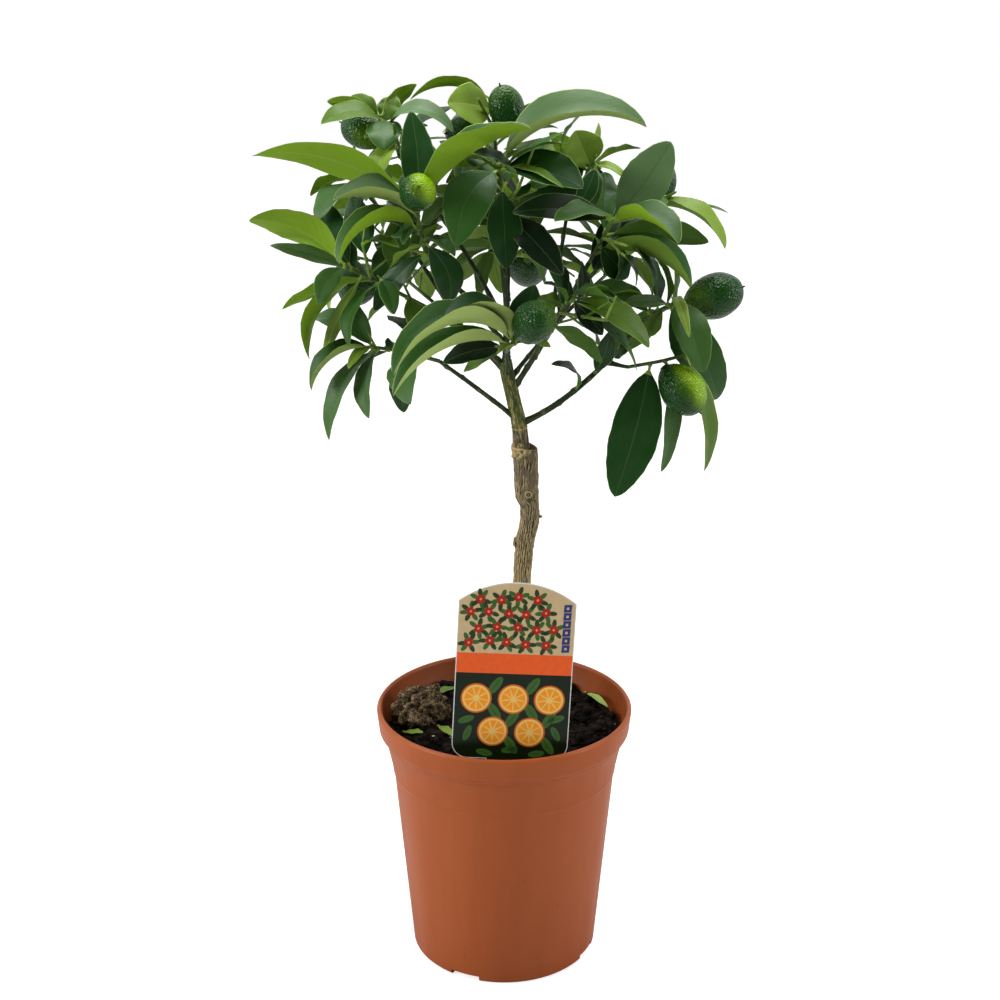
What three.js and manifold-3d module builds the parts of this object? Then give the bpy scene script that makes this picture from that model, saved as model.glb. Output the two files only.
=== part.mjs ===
// A young kumquat grown as a small standard tree: a grafted trunk standing in a filled plastic pot,
// boughs that each end in a mass of leafy twigs, green fruit, and a label pushed into the soil.
// Millimetres, +Z up. The origin is the middle of the pot's underside, and the label faces -Y.
// What grows is worked out in three steps: the boughs from their parents to their tips, each mass's stem
// and twigs from its bough's tip, and leaves along them by a seeded rule that keeps every leaf clear.

import * as THREE from "three";
import { mergeVertices } from "three/addons/utils/BufferGeometryUtils.js";
import Module from "manifold-3d";

const wasm = await Module();
wasm.setup();

// ---------------------------------------------------------------- driving dimensions

const GAP = 0.3; // running gap between two separate pieces

const POT = {
  height: 155,
  rimRadius: 75, // outside, at the lip
  bandHeight: 13.6, // the plain band under the lip
  bandFoot: 73.6, // outside radius at the band's lower edge
  shoulderTop: 70.6, // the cone under the band starts here
  ridgeHeight: 116, // the cone ends in a fine ridge
  ridgeRadius: 65.8,
  baseRadius: 55,
  wall: 2,
  lip: 3.4,
  floor: 4.5, // top of the pot's floor
  recess: 2.4, // how far the ring between the feet is raised
  hubRadius: 21, // flat disc in the middle of the underside
  footRing: 43, // inner radius of the outer foot
  sides: 40,
  notches: 4,
  notchWidth: 18,
  notchHeight: 3.8,
  notchTurn: -115, // where the first notch sits, in degrees
  drains: 5,
  drainRadius: 4,
  drainCircle: 32,
};

const SOIL = {
  level: 141, // flat seat of the trunk
  seatRadius: 15,
  unevenness: 2.6,
  rings: 4,
  sides: 26,
  clod: { at: [-45, 4, 147], size: [19, 14, 12] },
};

const LABEL = {
  width: 63,
  height: 99, // from the rounded foot to the crest
  crest: 11, // how much the arched top rises above its shoulders
  cornerRadius: 12,
  thickness: 0.8,
  stakeWidth: 26,
  stakeLength: 34,
  at: [3.4, -57, 150.3], // middle of the foot
  leanBack: 6,
  roll: 2.4,
  turn: 3,
};

const TRUNK = {
  // the stock below the graft and the scion above it, each a line of [x, y, height]
  stock: [
    [2.5, 0, 141.3], [6, 0, 180], [9.8, 0, 228], [11.6, 0, 254], [14.2, 0, 268], [14.2, 0, 278],
    [12.7, 0, 285], [12.2, 0, 296], [11.6, 0, 313],
  ],
  scion: [[9.9, 0, 298], [9.2, 0, 314], [8.2, 0, 325], [5.1, 0, 339], [2.6, 0, 350], [0.4, 0, 361]],
  stockRadius: [[141.3, 5.3], [228, 4.7], [254, 5.2], [278, 5.3], [284, 6.5], [307, 7.0], [313, 6.7]],
  scionRadius: [[298, 4.4], [314, 4.5], [339, 4.5], [361, 4.1]],
  flare: 3.2, // extra radius at the ground
  flareHeight: 7,
  cut: { height: 312.6, slope: 14 }, // the stock's sawn top falls to the right
  knots: [[7.2, 0, 255, 2.3], [19.3, -1, 271, 1.3], [12.9, -5.6, 285, 1.7]],
  sides: 9,
  steps: 14,
};

const LEAF = {
  thickness: 0.022, // of its length
  fold: 9, // degrees that each half is lifted from the rib
  stations: [0, 0.09, 0.42, 0.8, 1], // the shares of its length that are drawn
  longStations: [0, 0.08, 0.3, 0.56, 0.82, 1], // and of a leaf that is long or much bent
  longFrom: 52,
  bentFrom: 80,
  stalk: 0.07, // this share of it is a bare stalk
  stalkWidth: 0.55, // half its width
};

const RULE = {
  golden: 137.5, // degrees from one leaf to the next round a shoot
  elbow: 0.08, // a stem first follows its bough, by this share of its length
  sides: 3, // of a stem, a twig or a fruit's stalk
  stemTip: 1.3, // radius
  twigRadius: [1.4, 1.1],
  twigsFrom: 0.35, // the share of the stem where its first twig leaves it
  twigsTo: 0.9,
  twigTilt: 52,
  twigLength: 26,
  twigRise: 0.15, // how far a twig's end is lifted, as a share of its length
  leafTilt: [74, 36], // away from the shoot, at its foot and at its tip
  leafLength: [40, 62],
  slenderness: [0.34, 0.43],
  curl: [30, 75],
  spacing: 6.4, // between leaves along a shoot
  leavesFrom: [0.4, 0.3], // the share of a stem, and of a twig, that stays bare
  tries: 9,
  clearOfOthers: 4, // between leaves of two masses
  clearOfOwn: 2.6,
  looseBase: 0.3, // leaves of one shoot may meet over this share of their length
  reach: 66, // a leaf stays this near its own mass's tip
  floor: 352, // no leaf hangs lower, unless its mass says so
};

const CROWN = { middle: [-4, 2, 402], size: [112, 108, 104] }; // the rule's leaves stay inside

const FRUIT = { facets: 8, rings: 4, stalk: [0.8, 0.9] };

const BOUGH = { sides: 6, steps: 4 };

// Boughs: each one tapering limb from its parent to its tip. "at" is a height on the trunk or a share
// of the parent bough. "lift" arches it.
const BOUGHS = [
  { name: "left_low", parent: "trunk", at: 327, tip: [-35, -6, 362], lift: 1, radius: [2.0, 1.6] },
  { name: "right_mid", parent: "trunk", at: 325, tip: [75, 0, 383], lift: -15, radius: [2.6, 1.8] },
  { name: "right_low", parent: "right_mid", at: 0.72, tip: [67, -10, 360], lift: -1, radius: [1.7, 1.4] },
  { name: "right_high", parent: "trunk", at: 344, tip: [45, -10, 417], lift: -5, radius: [2.4, 1.6] },
  { name: "rear_right", parent: "trunk", at: 350, tip: [46, 42, 390], lift: 3, radius: [1.9, 1.4] },
  { name: "rear_left", parent: "trunk", at: 353, tip: [-44, 42, 388], lift: 3, radius: [1.9, 1.4] },
  { name: "front", parent: "trunk", at: 353, tip: [1, -22, 371], lift: 1, radius: [1.9, 1.5] },
  { name: "left_mid", parent: "trunk", at: 357, tip: [-43, -8, 393], lift: 3, radius: [2.2, 1.6] },
  { name: "rear", parent: "trunk", at: 356, tip: [2, 44, 404], lift: 5, radius: [2.2, 1.5] },
  { name: "centre", parent: "trunk", at: 359, tip: [2, -14, 430], lift: 2, radius: [2.7, 1.7] },
  { name: "front_right", parent: "right_high", at: 0.3, tip: [22, -27, 384], lift: 1, radius: [1.7, 1.4] },
  { name: "left_high", parent: "centre", at: 0.14, tip: [-38, -24, 420], lift: 4, radius: [2.1, 1.6] },
  { name: "crown_left", parent: "centre", at: 0.3, tip: [-45, 10, 453], lift: 8, radius: [1.9, 1.5] },
  { name: "crown_top", parent: "centre", at: 0.5, tip: [-4, 16, 466], lift: 2, radius: [1.8, 1.4] },
  { name: "crown_right", parent: "right_high", at: 0.5, tip: [34, 12, 440], lift: 4, radius: [1.8, 1.4] },
  { name: "right_rear", parent: "right_high", at: 0.62, tip: [62, 20, 419], lift: 4, radius: [1.8, 1.4] },
  { name: "left_rear", parent: "left_mid", at: 0.5, tip: [-58, 26, 428], lift: 3, radius: [1.7, 1.4] },
  { name: "rear_high", parent: "rear", at: 0.45, tip: [-6, 46, 448], lift: 4, radius: [1.8, 1.4] },
];

// Which way a leaf's upper face looks.
const UPWARD = [0, 0, 1];
const FORWARD = [0, -1, 0.3];
const BACKWARD = [0, 1, 0.5];
const OUT_RIGHT = [1, -0.5, 0.2];
const OUT_LEFT = [-1, -0.8, 0.2];
const ASIDE_RIGHT = [1, -1, 0.2];
const UP_FORWARD = [0, -0.7, 1];
const UP_BACKWARD = [0, 0.6, 1];
const BACK_UP = [0, 1, 1];

// A leaf that is placed by name: how far out on its mass's stem, its tip, its width, how far its rib
// bends over in degrees, and the way it looks.
const leaf = (at, tip, width, curl, looks) => ({ at, tip, width, curl, looks });
// A fruit: its middle, the way its blossom end points, its length and width.
const fruit = (middle, points, length, width) => ({ middle, points, length, width });

// Masses of foliage: each grows on from the tip of the bough of its name to its own tip.
const MASSES = {
  left_low: {
    tip: [-71, -14, 372], seed: 37, twigs: 0, floor: 335, spacing: 12,
    leaves: [
      leaf(1, [-83, -10, 397], 13, 15, FORWARD),
      leaf(1, [-104, -22, 350], 18, 92, UPWARD),
      leaf(0.95, [-96, -18, 321], 18, 56, OUT_LEFT),
      leaf(0.9, [-73, -28, 336], 15, 40, OUT_LEFT),
      leaf(0.4, [-56, 2, 331], 13, 20, FORWARD),
    ],
    fruit: [],
  },
  right_low: {
    tip: [97, -16, 368], seed: 54, twigs: 0, floor: 335,
    leaves: [
      leaf(0.35, [60, -32, 293], 30, 12, FORWARD),
      leaf(0.6, [87, -12, 301], 13, 44, ASIDE_RIGHT),
      leaf(1, [111, -8, 300], 13, 55, ASIDE_RIGHT),
    ],
    fruit: [fruit([96, -22, 350], [0.5, -0.3, -0.6], 29, 24)],
  },
  right_mid: {
    tip: [93, 2, 393], seed: 34, twigs: 1, floor: 335,
    leaves: [
      leaf(1, [106, -22, 360], 17, 80, FORWARD),
      leaf(0.9, [118, 4, 338], 18, 88, OUT_RIGHT),
      leaf(0.8, [103, 8, 354], 15, 50, FORWARD),
      leaf(0.8, [62, -16, 394], 13, 50, UP_FORWARD),
    ],
    fruit: [fruit([114, 0, 397], [0.9, -0.2, 0.35], 31, 25)],
  },
  left_mid: {
    tip: [-84, -16, 416], seed: 33, twigs: 1, floor: 360,
    leaves: [
      leaf(1, [-132, -30, 443], 24, 70, BACK_UP),
      leaf(0.9, [-124, -14, 427], 14, 20, UPWARD),
      leaf(0.7, [-103, -34, 370], 22, 104, UP_BACKWARD),
      leaf(0.6, [-120, -6, 391], 15, 30, UP_BACKWARD),
      leaf(1, [-98, -28, 398], 14, 50, FORWARD),
      leaf(0.3, [-66, 4, 424], 21, 15, FORWARD),
      leaf(0.2, [-44, -14, 379], 14, 40, UP_FORWARD),
    ],
    fruit: [],
  },
  left_high: {
    tip: [-45, -36, 448], seed: 32, twigs: 0, floor: 380,
    leaves: [
      leaf(1, [-126, -50, 478], 24, 75, BACK_UP),
      leaf(1, [-48, -20, 497], 17, 10, FORWARD),
      leaf(1, [13, -46, 491], 22, 45, BACK_UP),
      leaf(0.9, [-87, -44, 455], 16, 60, UP_FORWARD),
      leaf(0.6, [-84, -52, 424], 20, 110, UPWARD),
      leaf(0.7, [-29, -16, 451], 15, 30, BACKWARD),
      leaf(0.35, [-29, -20, 396], 17, 30, FORWARD),
      leaf(0.3, [-60, -20, 414], 15, 60, UPWARD),
    ],
    fruit: [fruit([-44, -44, 459], [0.1, -1, 0.4], 22, 19)],
  },
  centre: {
    tip: [-3, -22, 469], seed: 34, twigs: 1, floor: 380,
    leaves: [
      leaf(1, [72, -30, 490], 28, 122, UP_FORWARD),
      leaf(0.95, [-25, -50, 433], 27, 60, FORWARD),
      leaf(0.95, [39, -50, 462], 20, 50, UP_FORWARD),
      leaf(0.55, [50, -34, 452], 17, 30, UP_FORWARD),
      leaf(0.7, [1, -34, 418], 19, 30, FORWARD),
      leaf(0.3, [30, -40, 416], 14, 50, OUT_RIGHT),
    ],
    fruit: [],
  },
  right_high: {
    tip: [56, -22, 441], seed: 35, twigs: 1, floor: 380,
    leaves: [
      leaf(1, [86, -16, 481], 25, 15, FORWARD),
      leaf(1, [98, -44, 433], 18, 115, UP_BACKWARD),
      leaf(1, [24, -44, 445], 13, 80, UPWARD),
      leaf(0.2, [98, -24, 406], 23, 90, UPWARD),
      leaf(0.6, [109, -4, 427], 22, 30, BACK_UP),
    ],
    fruit: [],
  },
  front: {
    tip: [5, -40, 380], seed: 38, twigs: 0, floor: 366,
    leaves: [
      leaf(1, [-56, -76, 372], 23, 105, UP_FORWARD),
      leaf(0.8, [-57, -68, 359], 14, 70, UPWARD),
      leaf(0.9, [-33, -62, 395], 18, 110, UP_FORWARD),
      leaf(0.6, [16, -30, 409], 18, 15, FORWARD),
    ],
    fruit: [fruit([15, -52, 394], [0.4, -0.6, 0.5], 27, 22)],
  },
  front_right: {
    tip: [35, -35, 403], seed: 35, twigs: 1,
    leaves: [
      leaf(0.9, [77, -12, 372], 19, 70, BACK_UP),
      leaf(1, [52, -46, 388], 14, 40, FORWARD),
      leaf(0.15, [52, -26, 366], 15, 50, BACK_UP),
    ],
    fruit: [],
  },
  crown_left: {
    tip: [-66, 8, 491], seed: 48, twigs: 1, floor: 420,
    leaves: [
      leaf(1, [-93, 2, 500], 10, 50, BACKWARD),
      leaf(1, [-81, 14, 502], 12, 40, FORWARD),
      leaf(0.95, [-96, -4, 489], 14, 90, UPWARD),
      leaf(1, [-47, 22, 507], 11, 30, BACKWARD),
      leaf(0.75, [-27, -2, 484], 22, 150, UP_FORWARD),
    ],
    fruit: [fruit([-76, 18, 483], [-0.8, 0.1, 0.3], 24, 19)],
  },
  crown_top: {
    tip: [-7, 20, 499], seed: 38, twigs: 2, floor: 420,
    leaves: [
      leaf(1, [-50, 10, 500], 15, 80, UP_BACKWARD),
      leaf(0.8, [-30, 4, 499], 17, 40, BACKWARD),
    ],
    fruit: [fruit([1, 10, 496], [-0.3, -0.2, 1], 24, 19), fruit([-21, 20, 482], [-0.8, -0.4, 0], 22, 19)],
  },
  crown_right: {
    tip: [46, 8, 465], seed: 37, twigs: 2, floor: 420,
    leaves: [
      leaf(1, [43, 4, 485], 15, 15, BACKWARD),
      leaf(0.9, [24, 18, 482], 14, 20, BACKWARD),
      leaf(1, [50, 12, 488], 9, 20, OUT_RIGHT),
      leaf(1, [73, 16, 474], 12, 50, UP_BACKWARD),
    ],
    fruit: [],
  },
  right_rear: {
    tip: [79, 22, 444], seed: 37, twigs: 2,
    leaves: [
      leaf(0.9, [119, 4, 422], 19, 84, UPWARD),
      leaf(1, [123, 26, 438], 12, 30, UPWARD),
    ],
    fruit: [fruit([84, 26, 455], [0.1, 0.3, 1], 25, 20)],
  },
  left_rear: {
    tip: [-82, 14, 458], seed: 41, twigs: 2,
    leaves: [
      leaf(1, [-105, 14, 449], 14, 70, UP_BACKWARD),
      leaf(0.9, [-100, 0, 438], 19, 80, OUT_LEFT),
    ],
    fruit: [],
  },
  rear: {
    tip: [2, 72, 418], seed: 54, twigs: 3, floor: 370, leaves: [],
    fruit: [fruit([14, 80, 398], [0, 1, -0.5], 28, 23)],
  },
  rear_high: { tip: [-8, 60, 474], seed: 25, twigs: 3, leaves: [], fruit: [] },
  rear_right: { tip: [72, 64, 408], seed: 52, twigs: 3, floor: 370, leaves: [], fruit: [] },
  rear_left: {
    tip: [-68, 62, 404], seed: 51, twigs: 3, floor: 370, leaves: [],
    fruit: [fruit([-84, 56, 392], [-0.6, 0.4, -0.7], 27, 22)],
  },
};

// ---------------------------------------------------------------- small helpers

const UP = new THREE.Vector3(0, 0, 1);
const rad = THREE.MathUtils.degToRad;
const lerp = THREE.MathUtils.lerp;
const vec = (a) => new THREE.Vector3(...a);

// Numbers from 0 to 1 in a fixed order for each seed.
function dice(seed) {
  let state = seed * 7919 + 104729;
  const roll = () => {
    state = (state * 1664525 + 1013904223) % 4294967296;
    return state / 4294967296;
  };
  roll();
  return roll;
}

// A closed geometry as a solid. Faces that collapsed to a line are dropped.
function solidOf(geometry) {
  const bare = geometry.clone();
  for (const name of ["normal", "uv"]) bare.deleteAttribute(name);
  const merged = mergeVertices(bare, 1e-4);
  const index = merged.index.array;
  const kept = [];
  for (let i = 0; i < index.length; i += 3) {
    const [a, b, c] = index.slice(i, i + 3);
    if (a !== b && b !== c && c !== a) kept.push(a, b, c);
  }
  const vertProperties = merged.attributes.position.array;
  return new wasm.Manifold(new wasm.Mesh({ numProp: 3, vertProperties, triVerts: new Uint32Array(kept) }));
}

const largest = (solid) => solid.decompose().sort((a, b) => b.volume() - a.volume())[0];

function meshOf(solid, name, material) {
  const data = solid.getMesh();
  const geometry = new THREE.BufferGeometry();
  geometry.setAttribute("position", new THREE.BufferAttribute(data.vertProperties, 3));
  geometry.setIndex(new THREE.BufferAttribute(data.triVerts, 1));
  geometry.computeVertexNormals();
  const mesh = new THREE.Mesh(geometry, material);
  mesh.name = name;
  return mesh;
}

const finish = (color, roughness) => new THREE.MeshStandardMaterial({ color, roughness, metalness: 0 });

// Moves each vertex of a geometry.
function reshape(geometry, move) {
  const position = geometry.attributes.position;
  const point = new THREE.Vector3();
  for (let i = 0; i < position.count; i++) {
    move(point.fromBufferAttribute(position, i));
    position.setXYZ(i, point.x, point.y, point.z);
  }
  return geometry;
}

// A quadratic curve that answers point(t) and way(t), its unit direction.
function curve(start, control, end) {
  const at = (t, a, b, c) => a.clone().multiplyScalar((1 - t) ** 2)
    .addScaledVector(b, 2 * t * (1 - t)).addScaledVector(c, t * t);
  return {
    length: start.distanceTo(end),
    point: (t) => at(t, start, control, end),
    way: (t) => control.clone().sub(start).multiplyScalar(1 - t)
      .addScaledVector(end.clone().sub(control), t).normalize(),
  };
}

// A shoot's path: straight pieces of equal share from point to point.
function joints(...points) {
  const last = points.length - 1;
  const piece = (t) => Math.min(last - 1, Math.floor(t * last));
  return {
    length: points[0].distanceTo(points[last]),
    point: (t) => points[piece(t)].clone().lerp(points[piece(t) + 1], t * last - piece(t)),
    way: (t) => points[piece(t) + 1].clone().sub(points[piece(t)]).normalize(),
  };
}

// A limb: a cylinder bent along a path, with a radius that changes along it.
function limb(path, radius, sides, steps) {
  const rings = [];
  let side = new THREE.Vector3(1, 0, 0);
  for (let k = 0; k <= steps; k++) {
    const way = path.way(k / steps);
    if (k === 0 && Math.abs(way.x) > 0.9) side = new THREE.Vector3(0, 1, 0);
    side = side.clone().addScaledVector(way, -way.dot(side)).normalize();
    rings.push({ middle: path.point(k / steps), side, other: way.clone().cross(side), r: radius(k / steps) });
  }
  const tube = new THREE.CylinderGeometry(1, 1, steps, sides, steps).toNonIndexed();
  return solidOf(reshape(tube, (p) => {
    const ring = rings[Math.round(p.y + steps / 2)];
    const [across, along] = [p.x * ring.r, -p.z * ring.r];
    p.copy(ring.middle).addScaledVector(ring.side, across).addScaledVector(ring.other, along);
  }));
}

const taper = ([from, to]) => (t) => lerp(from, to, t);

// ---------------------------------------------------------------- pot, soil and label

function makePot() {
  const { wall, height, baseRadius: base, ridgeHeight: ridge, ridgeRadius, rimRadius: rim } = POT;
  const band = height - POT.bandHeight;
  const profile = [
    [0, 0], [POT.hubRadius, 0], [POT.hubRadius + 1, POT.recess], [POT.footRing - 1, POT.recess],
    [POT.footRing, 0], [base - 1.6, 0], [base, 1.6], [ridgeRadius - 0.7, ridge - 1], [ridgeRadius, ridge],
    [POT.shoulderTop, band - 2.2], [POT.bandFoot, band], [rim - 0.3, height - 1.4], [rim - 1.2, height],
    [rim - POT.lip + 0.8, height], [rim - POT.lip, height - 1.2], [POT.bandFoot - wall - 1.6, band],
    [POT.shoulderTop - wall, band - 2.8], [ridgeRadius - wall, ridge], [base - wall, POT.floor + 2],
    [base - wall - 2, POT.floor], [0, POT.floor],
  ].map(([r, z]) => new THREE.Vector2(r, z));
  let pot = solidOf(new THREE.LatheGeometry(profile, POT.sides).rotateX(Math.PI / 2));

  for (let k = 0; k < POT.notches; k++) {
    const cut = new THREE.BoxGeometry(16, POT.notchWidth, POT.notchHeight * 2)
      .translate(base, 0, 0)
      .rotateZ(rad(POT.notchTurn + (360 / POT.notches) * k));
    pot = pot.subtract(solidOf(cut));
  }
  for (let k = 0; k < POT.drains; k++) {
    const hole = new THREE.CylinderGeometry(POT.drainRadius, POT.drainRadius, 20, 8)
      .rotateX(Math.PI / 2)
      .translate(POT.drainCircle, 0, 0)
      .rotateZ(rad((360 / POT.drains) * (k + 0.5)));
    pot = pot.subtract(solidOf(hole));
  }
  return pot;
}

// How far the soil stands above its level. It is flat where the trunk stands.
function soilHeight(x, y) {
  const bumps = Math.sin(x * 0.21 + 1.1) * Math.cos(y * 0.17 - 0.6) + 0.6 * Math.sin(x * 0.09 - y * 0.26);
  const outside = THREE.MathUtils.smoothstep(Math.hypot(x, y), SOIL.seatRadius, SOIL.seatRadius * 2);
  return SOIL.unevenness * bumps * outside;
}

function labelPlace(geometry) {
  return geometry
    .rotateX(Math.PI / 2)
    .rotateY(rad(LABEL.roll))
    .rotateX(rad(-LABEL.leanBack))
    .rotateZ(rad(LABEL.turn))
    .translate(...LABEL.at);
}

function makeSoil() {
  const inner = (z) => lerp(POT.baseRadius - POT.wall, POT.ridgeRadius - POT.wall, z / POT.ridgeHeight) - GAP;
  const bottom = POT.floor + GAP;
  const edge = POT.shoulderTop - POT.wall - 2 * GAP;
  const top = Array.from({ length: SOIL.rings }, (_, k) => [(edge * k) / SOIL.rings, SOIL.level]);
  const profile = [
    [0, bottom], [inner(0) - 2, bottom], [inner(bottom) - 0.3, bottom + 2.5],
    [inner(POT.ridgeHeight) - 0.1, POT.ridgeHeight], [edge - 1, SOIL.level - 4], ...top.reverse(),
  ].map(([r, z]) => new THREE.Vector2(r, z));
  const ground = new THREE.LatheGeometry(profile, SOIL.sides).rotateX(Math.PI / 2);
  reshape(ground, (p) => {
    if (p.z > SOIL.level - 1) p.z += soilHeight(p.x, p.y);
  });

  const { at, size } = SOIL.clod;
  const clod = new THREE.IcosahedronGeometry(1, 1);
  reshape(clod, (p) => {
    const lump = 1 + 0.16 * Math.sin(4 * p.x + 2 * p.y) * Math.cos(3 * p.z - p.y) + 0.08 * Math.sin(7 * p.y);
    p.multiplyScalar(lump).multiply(vec(size));
  });
  clod.rotateZ(0.5).translate(...at);

  const slot = labelPlace(
    new THREE.BoxGeometry(LABEL.stakeWidth + 2 * GAP, LABEL.stakeLength * 2, LABEL.thickness + 2 * GAP),
  );
  return solidOf(ground).add(solidOf(clod)).subtract(solidOf(slot));
}

// The label as a drawn outline: an arched head, rounded lower corners and a stake with a blunt point.
function makeLabel() {
  const { width, height, crest, cornerRadius: corner, stakeWidth, stakeLength, thickness } = LABEL;
  const half = width / 2;
  const stake = stakeWidth / 2;
  const arch = (half * half + crest * crest) / (2 * crest);
  const spread = Math.asin(half / arch);
  const outline = new THREE.Shape();
  outline.moveTo(-half, corner);
  outline.absarc(-half + corner, corner, corner, Math.PI, 1.5 * Math.PI, false);
  outline.lineTo(-stake, 0);
  outline.lineTo(-stake, 6 - stakeLength);
  outline.lineTo(0, 1 - stakeLength);
  outline.lineTo(stake, 6 - stakeLength);
  outline.lineTo(stake, 0);
  outline.absarc(half - corner, corner, corner, -0.5 * Math.PI, 0, false);
  outline.absarc(0, height - arch, arch, 0.5 * Math.PI - spread, 0.5 * Math.PI + spread, false);
  const plate = { depth: thickness, bevelEnabled: false, curveSegments: 8 };
  const label = new THREE.ExtrudeGeometry(outline, plate).translate(0, 0, -thickness / 2);
  return solidOf(labelPlace(label));
}

// ---------------------------------------------------------------- trunk and boughs

// A path along named points, and the value between rows of [height, value].
function line(points) {
  const spline = new THREE.CatmullRomCurve3(points.map(vec));
  return {
    point: (t) => spline.getPoint(t),
    way: (t) => (t < 0.01 ? UP.clone() : spline.getTangent(t)),
  };
}

function between(rows, z) {
  const k = Math.max(1, rows.findIndex(([height]) => height > z));
  const [[low, from], [high, to]] = z < rows.at(-1)[0] ? [rows[k - 1], rows[k]] : rows.slice(-2);
  return lerp(from, to, THREE.MathUtils.clamp((z - low) / (high - low), 0, 1));
}

const stock = line(TRUNK.stock);
const scion = line(TRUNK.scion);

// The share of a rising path at a height.
function shareAt(path, z) {
  let [low, high] = [0, 1];
  for (let k = 0; k < 30; k++) {
    const middle = (low + high) / 2;
    if (path.point(middle).z < z) low = middle;
    else high = middle;
  }
  return low;
}

function makeTrunk(grow) {
  const { flare, flareHeight, cut, sides, steps } = TRUNK;
  const foot = TRUNK.stock[0][2];
  const flared = (z) => between(TRUNK.stockRadius, z) + flare * Math.exp((foot - z) / flareHeight);
  const stockLimb = limb(stock, (t) => flared(stock.point(t).z) + grow, sides, steps);
  const saw = new THREE.BoxGeometry(60, 60, 40)
    .translate(0, 0, 20)
    .rotateY(rad(cut.slope))
    .translate(TRUNK.stock.at(-1)[0], 0, cut.height + grow);
  const scionRadius = (t) => between(TRUNK.scionRadius, scion.point(t).z) + grow;
  const scionLimb = limb(scion, scionRadius, sides, steps / 2);
  const knots = TRUNK.knots.map(([x, y, z, size]) => {
    return solidOf(new THREE.IcosahedronGeometry(size + grow, 1).translate(x, y, z));
  });
  return wasm.Manifold.union([stockLimb.subtract(solidOf(saw)), scionLimb, ...knots]);
}

const limbs = new Map(); // name of each bough to { path, radius }

function growBoughs() {
  for (const { name, parent, at, tip, lift, radius } of BOUGHS) {
    const from = parent === "trunk" ? scion.point(shareAt(scion, at)) : limbs.get(parent).path.point(at);
    const end = vec(tip);
    const control = from.clone().add(end).multiplyScalar(0.5).addScaledVector(UP, lift);
    limbs.set(name, { path: curve(from, control, end), radius: taper(radius), parent });
  }
}

// ---------------------------------------------------------------- the growth rule

// Points that are taken: limbs and fruit as balls, leaves as points on their blades.
const taken = [];

function take(points, owner, radius, share = 1) {
  for (const p of points) taken.push({ x: p.x, y: p.y, z: p.z, owner, radius, share: p.share ?? share });
}

function isClear(points, owner) {
  const wide = RULE.clearOfOthers + 20;
  const box = new THREE.Box3().setFromPoints(points).expandByScalar(wide);
  const near = taken.filter((q) => box.containsPoint(q));
  return points.every((p) => near.every((q) => {
    const own = q.owner === owner;
    if (own && (p.share < RULE.looseBase || q.share < RULE.looseBase)) return true;
    const clear = q.radius + (own ? RULE.clearOfOwn : RULE.clearOfOthers);
    return (p.x - q.x) ** 2 + (p.y - q.y) ** 2 + (p.z - q.z) ** 2 > clear * clear;
  }));
}

// Half the width of a blade along its rib: a bare stalk, a narrow foot and a blunt point.
function halfWidth(s, width) {
  const share = Math.max(0, (s - LEAF.stalk) / (1 - LEAF.stalk));
  return Math.max(LEAF.stalkWidth * (s < 1), (width / 2) * Math.max(0, Math.sin(Math.PI * share)) ** 0.65);
}

// A point of a blade: s runs from foot to tip, across from -1 to 1. The rib curls away from the face.
function bladePoint(blade, s, across, lift = 0) {
  const { root, way, side, face, length, width, curl } = blade;
  const turn = rad(curl);
  const along = turn ? Math.sin(turn * s) / turn : s;
  const down = turn ? (1 - Math.cos(turn * s)) / turn : 0;
  const half = halfWidth(s, width);
  const facing = face.clone().multiplyScalar(Math.cos(turn * s)).addScaledVector(way, Math.sin(turn * s));
  return root.clone()
    .addScaledVector(way, along * length)
    .addScaledVector(face, -down * length)
    .addScaledVector(side, across * half * Math.cos(rad(LEAF.fold)))
    .addScaledVector(facing, Math.abs(across) * half * Math.sin(rad(LEAF.fold)) + lift);
}

function bladeSamples(blade) {
  const points = [];
  for (let k = 1; k <= 12; k++) {
    for (const across of [-1, -0.5, 0, 0.5, 1]) {
      const p = bladePoint(blade, k / 12, across);
      p.share = k / 12;
      points.push(p);
    }
  }
  return points;
}

// Three edges run along a blade: its two margins and, below, its rib.
function bladeSolid(blade) {
  const isLong = blade.length > LEAF.longFrom || blade.curl > LEAF.bentFrom;
  const stations = isLong ? LEAF.longStations : LEAF.stations;
  const steps = stations.length - 1;
  const depth = blade.length * LEAF.thickness;
  const tube = new THREE.CylinderGeometry(1, 1, steps, 3, steps, false, Math.PI).toNonIndexed();
  return solidOf(reshape(tube, (p) => {
    const s = stations[Math.round(p.y + steps / 2)];
    const isRib = p.z < 0;
    const across = Math.abs(p.x) < 0.5 ? 0 : Math.sign(p.x);
    p.copy(bladePoint(blade, s, across, isRib && s < 1 ? -depth * (s ? 1 : 0.5) : 0));
  }));
}

function samplesAlong(path, from, steps) {
  return Array.from({ length: steps + 1 }, (_, k) => path.point(lerp(from, 1, k / steps)));
}

// The direction square to a shoot, turned round it by an angle in degrees.
function sideways(along, angle) {
  const across = along.clone().cross(UP).normalize();
  const other = across.clone().cross(along);
  return across.multiplyScalar(Math.cos(rad(angle))).addScaledVector(other, Math.sin(rad(angle)));
}

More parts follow.
